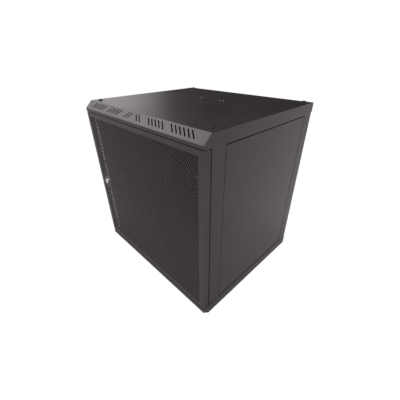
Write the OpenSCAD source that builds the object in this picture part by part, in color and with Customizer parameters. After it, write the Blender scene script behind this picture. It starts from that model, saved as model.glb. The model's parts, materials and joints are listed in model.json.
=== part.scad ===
// Wall-mount cabinet for 19 inch network equipment, with a perforated front door.
// Millimetres. The origin is the centre of the footprint on the floor. +Z is up, the door faces -Y,
// and the door's hinges are on the +X side.

/* [Cabinet] */
// Width over the side frames
width = 600; // [570:5:700]
// Depth from the door's face to the rear edge of the roof
depth = 528; // [480:4:700]
// Rack units of 44.45 mm between floor and roof
rack_units = 12; // [9:1:18]
// Sheet thickness of the frames, the roof and the base
sheet = 1.5; // [1.2:0.1:1.5]
// Sheet thickness of the panels and the door
skin = 1.2; // [1:0.1:1.2]

/* [Roof and base] */
// How far the slope at the roof's front runs back
slope_back = 24.4; // [20:0.2:28]
// Height of the slope at the roof's front
slope_height = 23.8; // [20:0.2:26]
// Height of the base band
base_height = 38; // [36:0.5:38]
// How far the slope under the base band's front runs back
base_slope_back = 23.6; // [20:0.2:28]
// Height of the slope under the base band's front
base_slope_height = 22.6; // [18:0.2:26]
// Width of one vent slot
slot_width = 4; // [2.5:0.1:4.5]
// Spacing of the vent slots along X
slot_pitch = 15.1; // [13:0.1:16]

/* [Door] */
// Depth of the door tray
door_depth = 19; // [17:0.5:20]
// Width of the solid border around the perforated sheet
door_stile = 19; // [16:0.5:20]
// Height of the border above and below the perforated sheet
door_rail = 15; // [12:0.5:20]

/* [Side] */
// Width of the front column beside the panel
front_column = 47; // [44:0.5:60]
// Width of the rear column beside the panel
rear_column = 45; // [44:0.5:60]
// Gap above the side panel
panel_gap_top = 2.5; // [2:0.5:5]
// Gap in front of and behind the side panel
panel_gap_side = 2; // [1:0.25:2.5]

/* [Mounting rails] */
// How far the front rails stand behind the columns' faces
rail_setback = 38.5; // [36:0.5:60]
// Travel of each mounting rail along its slots
rail_travel = 100; // [60:5:110]

/* [Hidden] */
$fn = 48;

// Overall planes
unit = 44.45;
height = rack_units * unit + 84.6;
side_x = width / 2;
front_y = -depth / 2;
rear_y = depth / 2;
column_gap = 6.5;
column_y = front_y + door_depth + column_gap;
back_y = rear_y - 4.5;
ledge_step = 3.5;
floor_z = base_height + ledge_step;
notch_z = height - 34.6;
ear_z = height - 31;
flange_in = 36.5;

// Door planes
door_z0 = floor_z + 2.5;
door_z1 = notch_z - 1.4;
door_mid_z = (door_z0 + door_z1) / 2;
hinge_x = side_x - 10.5;
hinge_y = front_y + 7;
pin_r = 3;
running_gap = 0.06;
// The hinge side's fold reaches further back than the latch side's
hinge_fold_extra = 2;

// Side panel and its window
window_y0 = column_y + front_column;
window_y1 = back_y - rear_column;
window_z1 = ear_z - 5;
panel_y0 = window_y0 + panel_gap_side;
panel_y1 = window_y1 - panel_gap_side;
panel_z0 = floor_z + 2;
panel_z1 = window_z1 - panel_gap_top;
panel_fold = 12;
panel_lip = 18;
tab_x = side_x - 14.7;
tab_rows = [120, height - 118];
tab_length = 22;
tab_ys = [window_y0 + 12, window_y1 - 12];
hook_width = 8;
hook_sheet = 3;
panel_lift = panel_gap_top - 0.3;

// Mounting rails and depth rails
hole_half_span = 232.55;
rail_inner_x = 225.2;
rail_web_x = 253;
rail_sheet = 2;
rail_depth = 45;
rail_z0 = floor_z + 3.5;
rail_z1 = rail_z0 + rack_units * unit + 1.6;
unit_z0 = rail_z0 + 0.8;
front_rail_y = column_y + rail_setback;
rear_rail_y = back_y - 59.5;
lip_x = side_x - 20;
depth_rail_h = 24;
depth_rail_low = rail_z0 + 1;
depth_rail_high = rail_z1 - depth_rail_h - 1;
bolt_inset = 22;
m6_hole = 3.3;

// Lock
lock_x = -side_x + 45;
lock_tail_y = column_y + 2;

// Roof and rear fixings
roof_bolt_x = side_x - 27;
roof_bolt_ys = [front_y + 47, rear_y - 16];
entry_x = 46;
entry_y = 75;
wall_hole_x = 225;
wall_hole_dz = 200;

// ---------------------------------------------------------------- helpers

// A box between two corners
module block(low, high) {
    translate(low) cube(high - low);
}

// The same child on the +X side, or mirrored to the -X side
module on_side(side) {
    mirror([side < 0 ? 1 : 0, 0, 0]) children();
}

// A cylinder along X from x0 to x1
module rod_x(x0, x1, y, z, r, fn = 48) {
    translate([x0, y, z]) rotate([0, 90, 0]) cylinder(h = x1 - x0, r = r, $fn = fn);
}

// A cylinder along Y from y0 to y1
module rod_y(y0, y1, x, z, r, fn = 48) {
    translate([x, y0, z]) rotate([-90, 0, 0]) cylinder(h = y1 - y0, r = r, $fn = fn);
}

// A pan-head screw along -Z from its head's seat at the origin, with a cross recess
module pan_screw(r, length, head_r, head_h) {
    difference() {
        union() {
            translate([0, 0, -length]) cylinder(h = length + 0.5, r = r);
            cylinder(h = head_h * 0.6, r = head_r);
            translate([0, 0, head_h * 0.6]) cylinder(h = head_h * 0.4, r1 = head_r, r2 = head_r * 0.7);
        }
        for (turn = [0, 90])
            rotate([0, 0, turn]) translate([-head_r * 0.55, -0.5, head_h * 0.5])
                cube([head_r * 1.1, 1, head_h]);
    }
}

// A hexagon nut along +Z from the origin
module hex_nut(across_flats, thickness, bore_r) {
    difference() {
        cylinder(h = thickness, r = across_flats / sqrt(3), $fn = 6);
        translate([0, 0, -1]) cylinder(h = thickness + 2, r = bore_r);
    }
}

// ---------------------------------------------------------------- side frames

// Outline of the side frame in the YZ plane, as a plate from x0 to x1
module frame_plate(x0, x1) {
    translate([x0, 0, 0]) rotate([90, 0, 90]) linear_extrude(x1 - x0) difference() {
        polygon([[column_y, floor_z], [column_y, notch_z], [front_y, notch_z],
                 [front_y, height - slope_height], [front_y + slope_back, height],
                 [rear_y, height], [rear_y, ear_z], [back_y, ear_z], [back_y, floor_z]]);
        translate([window_y0, floor_z - 1]) square([window_y1 - window_y0, window_z1 - floor_z + 1]);
    }
}

module side_frame(side) {
    color([0.30, 0.29, 0.30]) on_side(side) difference() {
        union() {
            frame_plate(side_x - sheet, side_x);
            // front and rear flanges of the columns
            block([side_x - 17, column_y, floor_z], [side_x - 1, column_y + sheet, notch_z]);
            block([side_x - 38, back_y - sheet, floor_z], [side_x - 1, back_y, ear_z]);
            // folds along the window, and the lips at their inner edges
            for (edge = [[window_y0 - sheet, window_y0], [window_y1, window_y1 + sheet]])
                block([lip_x, edge[0], floor_z], [side_x - 1, edge[1], window_z1 + sheet]);
            block([lip_x, window_y0 - sheet, window_z1], [side_x - 1, window_y1 + sheet, window_z1 + sheet]);
            block([lip_x, window_y0 - 23.5, floor_z], [lip_x + sheet, window_y0, window_z1 + sheet]);
            block([lip_x, window_y1, floor_z], [lip_x + sheet, window_y1 + 23.5, window_z1 + sheet]);
            // top flange under the roof and bottom flange on the floor
            block([side_x - flange_in, front_y + 30, height - 2 * sheet],
                  [side_x - 1, back_y - 1, height - sheet]);
            block([side_x - flange_in, column_y, floor_z], [side_x - sheet, back_y, floor_z + sheet]);
            // tabs that the side panel's hooks hang on
            for (z = tab_rows) {
                block([tab_x, window_y0 - 1, z - 15], [tab_x + sheet, window_y0 + tab_length, z + 15]);
                block([tab_x, window_y1 - tab_length, z - 15], [tab_x + sheet, window_y1 + 1, z + 15]);
            }
        }
        // roof bolt holes
        for (y = roof_bolt_ys)
            translate([roof_bolt_x, y, height - 10]) cylinder(h = 20, r = m6_hole);
        // slots for the side panel's hooks, tall enough to lift the hooks free
        for (z = tab_rows, y = tab_ys)
            block([tab_x - 1, y - hook_width / 2 - 0.5, z - 0.1],
                  [tab_x + 3, y + hook_width / 2 + 0.5, z + hook_sheet + panel_lift + 0.4]);
        // depth rail screw holes in the lips
        for (z = [depth_rail_low + 12, depth_rail_high + 12], y = [window_y0 - 13, window_y1 + 13])
            rod_x(lip_x - 1, lip_x + 3, y, z, m6_hole);
        // rear panel screw holes
        for (z = panel_screw_rows)
            rod_y(back_y - 3, back_y + 1, side_x - 12, z, 2.7);
        // accessory holes in the rear column
        for (hole = accessory_holes)
            rod_x(side_x - 3, side_x + 1, back_y + hole[0], hole[1], 2.8);
        if (side < 0)
            rod_y(back_y - 3, back_y + 1, side_x - 28, 64, m6_hole);
    }
}

panel_screw_rows = [60, height * 0.3, height * 0.5, height * 0.7, height - 48];
accessory_holes = [[-29.5, height - 62], [-11.5, height - 92], [-29.5, 94], [-11.5, 77]];

// ---------------------------------------------------------------- roof

slope_length = sqrt(slope_back * slope_back + slope_height * slope_height);
slope_angle = atan2(slope_height, slope_back);
// Vent slot groups from the centre outward: distance of the first slot, and number of slots
slot_groups = [[18, 2], [79, 5], [177, 6]];
slot_run = 20.5;
roof_half = side_x - 2.3;

// One vent slot in the slope's own plane: X across the cabinet, Y up the slope
module vent_slot() {
    lean = slot_run * sqrt(2);
    rotate([0, 0, 45]) {
        square([lean - slot_width, slot_width], center = true);
        for (end = [-1, 1])
            translate([end * (lean - slot_width) / 2, 0]) circle(d = slot_width);
    }
}

// The roof's folded sheet seen from the side: rear flange, top, slope, front lip, fold over the door, upturn
module roof_section() {
    fold_y = column_y - 0.5;
    upturn_z = notch_z + 9;
    low_inset = sheet * (1 - sin(slope_angle)) / cos(slope_angle);
    high_inset = sheet * (1 - cos(slope_angle)) / sin(slope_angle);
    polygon([[rear_y, height - 30], [rear_y, height], [front_y + slope_back, height],
             [front_y, height - slope_height], [front_y, notch_z], [fold_y, notch_z], [fold_y, upturn_z],
             [fold_y - sheet, upturn_z], [fold_y - sheet, notch_z + sheet],
             [front_y + sheet, notch_z + sheet],
             [front_y + sheet, height - slope_height - low_inset],
             [front_y + slope_back + high_inset, height - sheet],
             [rear_y - sheet, height - sheet], [rear_y - sheet, height - 30]]);
}

module roof_cover() {
    color([0.33, 0.32, 0.32]) difference() {
        translate([-roof_half, 0, 0]) rotate([90, 0, 90]) linear_extrude(2 * roof_half) roof_section();
        // vent slots through the slope, mirrored about the centre
        translate([0, front_y, height - slope_height]) rotate([slope_angle, 0, 0])
            translate([0, 0, -2 * sheet]) linear_extrude(3 * sheet)
                for (half = [-1, 1], group = slot_groups, i = [0 : group[1] - 1])
                    if (group[0] + i * slot_pitch < roof_half - 20)
                        mirror([half < 0 ? 0 : 1, 0])
                            translate([-group[0] - i * slot_pitch, slope_length * 0.55]) vent_slot();
        for (x = [-roof_bolt_x, roof_bolt_x], y = roof_bolt_ys)
            translate([x, y, height - 5]) cylinder(h = 10, r = m6_hole);
        for (x = [-entry_x, entry_x, entry_x + 12])
            translate([x, entry_y + (x > entry_x ? 4 : 0), height - 5]) cylinder(h = 10, r = 2.2);
        translate([hinge_x, hinge_y, notch_z - 1]) cylinder(h = 4, r = 4.05);
    }
}

// Channel-shaped rib under the roof sheet
module roof_stiffener() {
    rib_x = 250;
    rib_y = 27;
    color([0.30, 0.29, 0.30]) difference() {
        union() {
            block([-rib_x, entry_y - rib_y, height - 2 * sheet], [rib_x, entry_y + rib_y, height - sheet]);
            for (y = [entry_y - rib_y, entry_y + rib_y - sheet])
                block([-rib_x, y, height - 11.5], [rib_x, y + sheet, height - sheet]);
        }
        for (x = [-entry_x, entry_x, entry_x + 12])
            translate([x, entry_y + (x > entry_x ? 4 : 0), height - 6]) cylinder(h = 10, r = 2.2);
    }
}

// Two screws hold the rib; the third beside them is the roof's earthing screw
module roof_screws() {
    color([0.75, 0.76, 0.76])
        for (x = [-entry_x, entry_x, entry_x + 12])
            translate([x, entry_y + (x > entry_x ? 4 : 0), height]) {
                pan_screw(1.97, 9, 3.6, 2.2);
                translate([0, 0, -2 * sheet - 3.2]) hex_nut(7, 3.2, 2.02);
            }
}

module roof_bolts() {
    color([0.70, 0.71, 0.72])
        for (x = [-roof_bolt_x, roof_bolt_x], y = roof_bolt_ys)
            translate([x, y, height]) {
                pan_screw(2.97, 16, 5, 2.6);
                translate([0, 0, -2 * sheet - 5]) hex_nut(10, 5, 3.02);
            }
}

// Plastic caps over the roof bolts' heads
module roof_plugs() {
    color([0.05, 0.05, 0.05])
        for (x = [-roof_bolt_x, roof_bolt_x], y = roof_bolt_ys)
            translate([x, y, height]) difference() {
                union() {
                    cylinder(h = 2.4, r = 7);
                    translate([0, 0, 2.4]) cylinder(h = 1.2, r1 = 7, r2 = 5.6);
                }
                translate([0, 0, -1]) cylinder(h = 3.7, r = 5.2);
            }
}

// ---------------------------------------------------------------- base

ledge_in = 6;

// Outline of the base band's side in the YZ plane, as a plate from x0 to x1
module base_plate(x0, x1) {
    translate([x0, 0, 0]) rotate([90, 0, 90]) linear_extrude(x1 - x0)
        polygon([[front_y, base_slope_height], [front_y, base_height], [rear_y, base_height],
                 [rear_y, 0], [front_y + base_slope_back, 0]]);
}

// A rectangular ring of sheet between two levels, with the given inner reach
module ring(z0, z1, x_out, y_front, y_back, reach) {
    difference() {
        block([-x_out, y_front, z0], [x_out, y_back, z1]);
        block([-x_out + reach, y_front + reach, z0 - 1], [x_out - reach, y_back - reach, z1 + 1]);
    }
}

module base_tray() {
    base_angle = atan2(base_slope_height, base_slope_back);
    base_length = sqrt(pow(base_slope_height, 2) + pow(base_slope_back, 2));
    color([0.31, 0.30, 0.31]) difference() {
        union() {
            for (side = [-1, 1])
                on_side(side) base_plate(side_x - sheet, side_x);
            // front face, the slope under it, and the rear face
            block([-side_x, front_y, base_slope_height], [side_x, front_y + sheet, base_height]);
            translate([-side_x, front_y, base_slope_height]) rotate([-base_angle, 0, 0])
                cube([width, base_length, sheet]);
            block([-side_x, rear_y - sheet, 0], [side_x, rear_y, base_height]);
            // inward fold that the cabinet stands on
            ring(0, sheet, side_x, front_y + base_slope_back, rear_y, 25);
            // ledge, riser and raised floor
            difference() {
                block([-side_x, front_y, base_height - sheet], [side_x, rear_y, base_height]);
                block([-side_x + ledge_in, column_y, base_height - 5],
                      [side_x - ledge_in, rear_y - ledge_in, floor_z]);
            }
            ring(base_height - sheet, floor_z, side_x - ledge_in + sheet, column_y - sheet,
                 rear_y - ledge_in + sheet, sheet);
            block([-side_x + ledge_in - sheet, column_y - sheet, floor_z - sheet],
                  [side_x - ledge_in + sheet, rear_y - ledge_in + sheet, floor_z]);
        }
        // cable entry in the floor
        block([-140, base_entry_y0, floor_z - 5], [140, base_entry_y1, floor_z + 5]);
        for (x = [-150, 150], y = [base_entry_y0 + 15, base_entry_y1 - 15])
            translate([x, y, floor_z - 5]) cylinder(h = 10, r = 2.2);
        // holes for feet in the standing fold
        for (x = [-foot_x, foot_x], y = foot_ys)
            translate([x, y, -1]) cylinder(h = 4, r = 4.5);
        translate([hinge_x, hinge_y, base_height - 4]) cylinder(h = 8, r = 4.05);
    }
}

base_entry_y0 = rear_y - 134;
base_entry_y1 = rear_y - 44;
foot_x = side_x - 14;
foot_ys = [front_y + base_slope_back + 15, rear_y - 14];

module base_entry_cover() {
    color([0.30, 0.29, 0.30]) difference() {
        block([-158, base_entry_y0 - 10, floor_z], [158, base_entry_y1 + 10, floor_z + skin]);
        for (x = [-150, 150], y = [base_entry_y0 + 15, base_entry_y1 - 15])
            translate([x, y, floor_z - 5]) cylinder(h = 10, r = 2.2);
    }
}

module base_entry_screws() {
    color([0.75, 0.76, 0.76])
        for (x = [-150, 150], y = [base_entry_y0 + 15, base_entry_y1 - 15])
            translate([x, y, floor_z + skin]) {
                pan_screw(1.97, 9, 3.6, 2.2);
                translate([0, 0, -skin - sheet - 3.2]) hex_nut(7, 3.2, 2.02);
            }
}

// ---------------------------------------------------------------- rear

rear_half = side_x - 4;
trim_half = 180;
trim_z0 = 80;
trim_z1 = 160;
cover_z0 = height - 138;
cover_z1 = height - 78;

// A keyhole for hanging: round entry below, narrow slot above
module keyhole(x, z) {
    rod_y(back_y - 3, back_y + 5, x, z, 8);
    rod_y(back_y - 3, back_y + 5, x, z + 14, 4.25);
    block([x - 4.25, back_y - 3, z], [x + 4.25, back_y + 5, z + 14]);
}

module rear_panel() {
    color([0.29, 0.28, 0.29]) difference() {
        block([-rear_half, back_y, floor_z + 0.5], [rear_half, back_y + skin, ear_z - 1.5]);
        block([-trim_half, back_y - 1, trim_z0], [trim_half, back_y + 3, trim_z1]);
        block([-120, back_y - 1, cover_z0], [120, back_y + 3, cover_z1]);
        for (x = [-128, 128], z = [cover_z0 + 8, cover_z1 - 8])
            rod_y(back_y - 2, back_y + 3, x, z, 2.2);
        for (x = [-wall_hole_x, wall_hole_x], z = [height / 2 - wall_hole_dz, height / 2 + wall_hole_dz])
            rod_y(back_y - 2, back_y + 3, x, z, 4.5);
        for (x = [-180, 180])
            keyhole(x, height - 66);
        for (x = [-side_x + 12, side_x - 12], z = panel_screw_rows)
            rod_y(back_y - 2, back_y + 3, x, z, 2.7);
        rod_y(back_y - 2, back_y + 3, -side_x + 28, 64, m6_hole);
    }
}

module rear_panel_screws() {
    color([0.12, 0.12, 0.12])
        for (x = [-side_x + 12, side_x - 12], z = panel_screw_rows)
            translate([x, back_y + skin, z]) rotate([-90, 0, 0]) {
                pan_screw(2.47, 10, 4.4, 2.2);
                translate([0, 0, -skin - sheet - 4]) hex_nut(8, 4, 2.52);
            }
}

module rear_entry_cover() {
    color([0.30, 0.29, 0.30]) difference() {
        block([-136, back_y + skin, cover_z0 - 6], [136, back_y + 2 * skin, cover_z1 + 6]);
        for (x = [-128, 128], z = [cover_z0 + 8, cover_z1 - 8])
            rod_y(back_y - 2, back_y + 5, x, z, 2.2);
    }
}

module rear_entry_screws() {
    color([0.12, 0.12, 0.12])
        for (x = [-128, 128], z = [cover_z0 + 8, cover_z1 - 8])
            translate([x, back_y + 2 * skin, z]) rotate([-90, 0, 0]) {
                pan_screw(1.97, 9, 3.6, 1.8);
                translate([0, 0, -2 * skin - 3.2]) hex_nut(7, 3.2, 2.02);
            }
}

// Rubber edging pushed on the rear cable opening's edge
module rear_entry_trim() {
    color([0.06, 0.06, 0.06]) difference() {
        block([-trim_half - 4, back_y - 2, trim_z0 - 4], [trim_half + 4, back_y + skin + 2, trim_z1 + 4]);
        block([-trim_half + 3, back_y - 5, trim_z0 + 3], [trim_half - 3, back_y + 5, trim_z1 - 3]);
        difference() {
            block([-trim_half - 9, back_y, trim_z0 - 9], [trim_half + 9, back_y + skin, trim_z1 + 9]);
            block([-trim_half, back_y - 1, trim_z0], [trim_half, back_y + 3, trim_z1]);
        }
    }
}

// ---------------------------------------------------------------- depth rails

// Slotted rail from the front column to the rear column, on the +X side
module depth_rail(side, z0) {
    y0 = window_y0 - 20;
    y1 = window_y1 + 20;
    front_bolt = front_rail_y + bolt_inset;
    rear_bolt = rear_rail_y - bolt_inset;
    color([0.30, 0.29, 0.30]) on_side(side) difference() {
        union() {
            block([lip_x - sheet, y0, z0], [lip_x, y1, z0 + depth_rail_h]);
            block([rail_web_x, y0, z0], [lip_x, y1, z0 + sheet]);
            block([rail_web_x, y0, z0], [rail_web_x + sheet, y1, z0 + depth_rail_h]);
        }
        for (y = [window_y0 - 13, window_y1 + 13])
            rod_x(lip_x - 3, lip_x + 1, y, z0 + 12, m6_hole);
        long_slot(z0 + 12, front_bolt, front_bolt + rail_travel);
        long_slot(z0 + 12, rear_bolt - rail_travel, rear_bolt);
    }
}

// A slot through the depth rail's inner wall for a rail bolt that travels from y0 to y1
module long_slot(z, y0, y1) {
    block([rail_web_x - 2, y0, z - m6_hole], [rail_web_x + 4, y1, z + m6_hole]);
    for (y = [y0, y1])
        rod_x(rail_web_x - 2, rail_web_x + 4, y, z, m6_hole);
}

module depth_rail_screws() {
    color([0.70, 0.71, 0.72])
        for (side = [-1, 1], z = [depth_rail_low + 12, depth_rail_high + 12],
             y = [window_y0 - 13, window_y1 + 13])
            on_side(side) translate([lip_x - sheet, y, z]) rotate([0, -90, 0]) {
                pan_screw(2.97, 12, 5.5, 3.4);
                translate([0, 0, -2 * sheet - 5]) hex_nut(10, 5, 3.02);
            }
}

// ---------------------------------------------------------------- mounting rails

// A mounting rail on the +X side whose square holes face the way the rail's own -Y points
module mounting_rail() {
    difference() {
        union() {
            block([rail_inner_x, 0, rail_z0], [rail_web_x, rail_sheet, rail_z1]);
            block([rail_web_x - rail_sheet, 0, rail_z0], [rail_web_x, rail_depth, rail_z1]);
            block([rail_web_x - 15, rail_depth - rail_sheet, rail_z0], [rail_web_x, rail_depth, rail_z1]);
        }
        for (u = [0 : rack_units - 1], step = [6.35, 22.225, 38.1])
            block([hole_half_span - 4.75, -1, unit_z0 + u * unit + step - 4.75],
                  [hole_half_span + 4.75, rail_sheet + 1, unit_z0 + u * unit + step + 4.75]);
        for (z = [depth_rail_low + 12, depth_rail_high + 12])
            rod_x(rail_web_x - 4, rail_web_x + 1, bolt_inset, z, m6_hole);
    }
}

module rail_bolts() {
    for (z = [depth_rail_low + 12, depth_rail_high + 12])
        translate([rail_web_x - rail_sheet, bolt_inset, z]) rotate([0, -90, 0]) {
            pan_screw(2.97, 14, 5.5, 3.4);
            translate([0, 0, -rail_sheet - sheet - 5]) hex_nut(10, 5, 3.02);
        }
}

// A cage nut in the square hole at height z, seen from the hole's side
module cage_nut(z) {
    translate([hole_half_span, 0, z]) difference() {
        union() {
            block([-4.6, 0.2, -4.6], [4.6, rail_sheet, 4.6]);
            block([-5.8, rail_sheet, -5.8], [5.8, rail_sheet + 4.8, 5.8]);
            // the cage's two side wings
            for (wing_x = [-4.6, 3.6])
                block([wing_x, rail_sheet, -6.4], [wing_x + 1, rail_sheet + 1, 6.4]);
        }
        rod_y(-1, rail_sheet + 6, 0, 0, 2.5);
    }
}

// Puts a rail-frame child on the front or the rear rail of one side
module at_rail(side, front) {
    on_side(side)
        if (front)
            translate([0, front_rail_y, 0]) children();
        else
            translate([0, rear_rail_y, 0]) mirror([0, 1, 0]) children();
}

module cage_nuts(side) {
    color([0.78, 0.78, 0.76]) at_rail(side, true)
        for (u = [0, rack_units - 1], step = [6.35, 38.1])
            cage_nut(unit_z0 + u * unit + step);
}

// ---------------------------------------------------------------- side panels

module side_panel(side) {
    color([0.34, 0.33, 0.34]) on_side(side) difference() {
        union() {
            block([side_x - skin, panel_y0, panel_z0], [side_x, panel_y1, panel_z1]);
            // folds around the edges
            for (edge = [[panel_y0, panel_y0 + skin], [panel_y1 - skin, panel_y1]])
                block([side_x - panel_fold, edge[0], panel_z0], [side_x, edge[1], panel_z1]);
            for (edge = [[panel_z0, panel_z0 + skin], [panel_z1 - skin, panel_z1]])
                block([side_x - panel_fold, panel_y0, edge[0]], [side_x, panel_y1, edge[1]]);
            // inner lips that carry the hooks
            block([side_x - panel_fold - 1, panel_y0, panel_z0],
                  [side_x - panel_fold + 0.2, panel_y0 + panel_lip, panel_z1]);
            block([side_x - panel_fold - 1, panel_y1 - panel_lip, panel_z0],
                  [side_x - panel_fold + 0.2, panel_y1, panel_z1]);
        }
        for (z = tab_rows, y = tab_ys)
            block([side_x - 15, y - hook_width / 2, z], [side_x - 10, y + hook_width / 2, z + hook_sheet]);
    }
}

// Hooks welded behind the panel's lips: each arm goes through the frame's tab and hangs down behind it
module panel_hooks(side) {
    lip_x1 = side_x - panel_fold + 0.2;
    tip_x = tab_x - 3.1;
    color([0.60, 0.60, 0.60]) on_side(side)
        for (z = tab_rows, y = tab_ys)
            translate([0, y + hook_width / 2, 0]) rotate([90, 0, 0]) linear_extrude(hook_width)
                polygon([[lip_x1 + 2, z - 9], [lip_x1 + 2, z + 12], [lip_x1, z + 12],
                         [lip_x1, z + hook_sheet], [tip_x, z + hook_sheet],
                         [tip_x, z - panel_lift + 0.3], [tip_x + 2.5, z - panel_lift + 0.3],
                         [tip_x + 2.5, z], [lip_x1, z], [lip_x1, z - 9]]);
}

// ---------------------------------------------------------------- door

mesh_x = side_x - door_stile + 5;
mesh_y = front_y + skin;

// One upright of the door: face strip, side fold, and the folds that close its two ends
module door_stile(side) {
    y1 = front_y + door_depth + (side > 0 ? hinge_fold_extra : 0);
    x0 = side_x - door_stile;
    color([0.30, 0.29, 0.30]) on_side(side) difference() {
        union() {
            block([x0, front_y, door_z0], [side_x, front_y + skin, door_z1]);
            block([side_x - skin, front_y, door_z0], [side_x, y1, door_z1]);
            block([x0, front_y, door_z0], [side_x, y1, door_z0 + skin]);
            block([x0, front_y, door_z1 - skin], [side_x, y1, door_z1]);
            // lip behind the latch side, which closes on the buffers
            if (side < 0)
                block([side_x - 13, y1 - skin, door_z0], [side_x, y1, door_z1]);
        }
        if (side > 0) {
            for (z = [door_z0, door_z1])
                translate([hinge_x, hinge_y, z - 3]) cylinder(h = 6, r = 3.8);
            for (z = hinge_screw_rows)
                csk_hole(z);
        }
    }
}

// One cross rail of the door, between its uprights: face strip and fold
module door_cross_rail(top) {
    face_z0 = top ? door_z1 - door_rail : door_z0;
    fold_z0 = top ? door_z1 - skin : door_z0;
    half = side_x - door_stile;
    color([0.30, 0.29, 0.30]) {
        block([-half, front_y, face_z0], [half, front_y + skin, face_z0 + door_rail]);
        block([-half, front_y, fold_z0], [half, front_y + door_depth, fold_z0 + skin]);
    }
}

hinge_screw_y = front_y + 12.3;
hinge_screw_rows = [door_z0 + 10, door_z0 + 29, door_z1 - 29, door_z1 - 10];

// Countersunk hole through the door's side fold and the bracket behind it
module csk_hole(z) {
    rod_x(side_x - 6, side_x + 1, hinge_screw_y, z, 2.1);
    translate([side_x - 2.2, hinge_screw_y, z]) rotate([0, 90, 0]) cylinder(h = 2.4, r1 = 2.1, r2 = 4.5);
}

module hinge_screws() {
    color([0.30, 0.29, 0.30])
        for (z = hinge_screw_rows)
            difference() {
                union() {
                    rod_x(side_x - 6, side_x - 2, hinge_screw_y, z, 2);
                    translate([side_x - 2.2, hinge_screw_y, z]) rotate([0, 90, 0])
                        cylinder(h = 2, r1 = 2, r2 = 4);
                }
                for (turn = [0, 90])
                    translate([side_x - 1, hinge_screw_y, z]) rotate([turn, 0, 0])
                        cube([2, 0.9, 4.4], center = true);
            }
}

// Perforated sheet behind the door's opening; the punching is drawn in the visual model
module door_mesh() {
    color([0.16, 0.16, 0.16]) difference() {
        block([-mesh_x, mesh_y, door_z0 + door_rail - 5], [mesh_x, mesh_y + 1, door_z1 - door_rail + 5]);
        rod_y(mesh_y - 1, mesh_y + 2, lock_x, door_mid_z, 9.5);
    }
}

module lock_plate() {
    color([0.28, 0.27, 0.28]) difference() {
        block([-side_x + door_stile - 3, mesh_y + 1, door_mid_z - 28],
              [-side_x + door_stile + 46, mesh_y + 2.5, door_mid_z + 20]);
        rod_y(mesh_y, mesh_y + 4, lock_x, door_mid_z, 9.5);
    }
}

// Bracket with two ears around the hinge line; ears is the low z of each ear
module hinge_bracket(z0, z1, ears) {
    leg_x = side_x - skin - 3;
    difference() {
        union() {
            block([leg_x, front_y + 1.8, z0], [side_x - skin, front_y + door_depth - 2, z1]);
            for (z = ears)
                block([hinge_x - 6, front_y + 2.6, z], [side_x - skin, hinge_y + 6, z + 3]);
        }
        translate([hinge_x, hinge_y, z0 - 5]) cylinder(h = z1 - z0 + 10, r = pin_r + running_gap);
        for (z = hinge_screw_rows)
            csk_hole(z);
    }
}

top_bracket_z0 = door_z1 - 64;
top_ear = door_z1 - 5;

module hinge_bracket_top() {
    color([0.28, 0.27, 0.28]) hinge_bracket(top_bracket_z0, door_z1 - 2, [top_bracket_z0, top_ear]);
}

module hinge_bracket_bottom() {
    color([0.28, 0.27, 0.28]) hinge_bracket(door_z0 + 2, door_z0 + 38, [door_z0 + 2, door_z0 + 18]);
}

// Lower pin, fixed in its bracket, with a collar that carries the door on the bush
module hinge_pin_bottom() {
    color([0.12, 0.12, 0.12]) translate([hinge_x, hinge_y, 0]) {
        translate([0, 0, base_height - 7]) cylinder(h = 32 + door_z0 - base_height, r = pin_r);
        translate([0, 0, base_height + 1.6]) cylinder(h = door_z0 - base_height - 1.6, r = 5);
        translate([0, 0, door_z0 + 5]) cylinder(h = 2, r = 4.6);
    }
}

pin_tip_z = notch_z + 6.5;
pin_foot_z = top_bracket_z0 - 10;
collar_z0 = top_ear - 2.2;

// Upper pin, which slides down to release the door, with a bent grip
module hinge_pin_top() {
    color([0.72, 0.72, 0.70]) {
        translate([hinge_x, hinge_y, pin_foot_z]) {
            cylinder(h = pin_tip_z - pin_foot_z - 1.5, r = pin_r);
            translate([0, 0, pin_tip_z - pin_foot_z - 1.5]) cylinder(h = 1.5, r1 = pin_r, r2 = 1.8);
            sphere(r = pin_r);
        }
        rod_x(hinge_x - 22, hinge_x, hinge_y, pin_foot_z, 2.5);
        translate([hinge_x, hinge_y, collar_z0]) cylinder(h = 2, r = 4.8);
    }
}

// ---------------------------------------------------------------- spring

spring_turns = 9;
spring_r = 4;
wire_r = 0.45;
ring_points = 6;
steps_per_turn = 16;
spring_z0 = top_bracket_z0 + 3 + wire_r;
spring_z1 = collar_z0 - wire_r;

// Point k on the wire's section at step i along the helix
function spring_point(i, k) =
    let (turn = 360 * i / steps_per_turn, around = 360 * k / ring_points)
    let (reach = spring_r + wire_r * cos(around))
    let (rise = (spring_z1 - spring_z0) * i / (spring_turns * steps_per_turn))
    [hinge_x + reach * cos(turn), hinge_y + reach * sin(turn), spring_z0 + rise + wire_r * sin(around)];

module hinge_spring() {
    last = spring_turns * steps_per_turn;
    points = [for (i = [0 : last], k = [0 : ring_points - 1]) spring_point(i, k)];
    walls = [for (i = [0 : last - 1], k = [0 : ring_points - 1])
        let (a = i * ring_points + k, b = i * ring_points + (k + 1) % ring_points)
        [a, a + ring_points, b + ring_points, b]];
    first_cap = [for (k = [0 : ring_points - 1]) k];
    last_cap = [for (k = [ring_points - 1 : -1 : 0]) last * ring_points + k];
    color([0.70, 0.70, 0.70]) polyhedron(points, concat([first_cap], walls, [last_cap]), convexity = 12);
}

// ---------------------------------------------------------------- hinge bushes, buffers, earth

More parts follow.
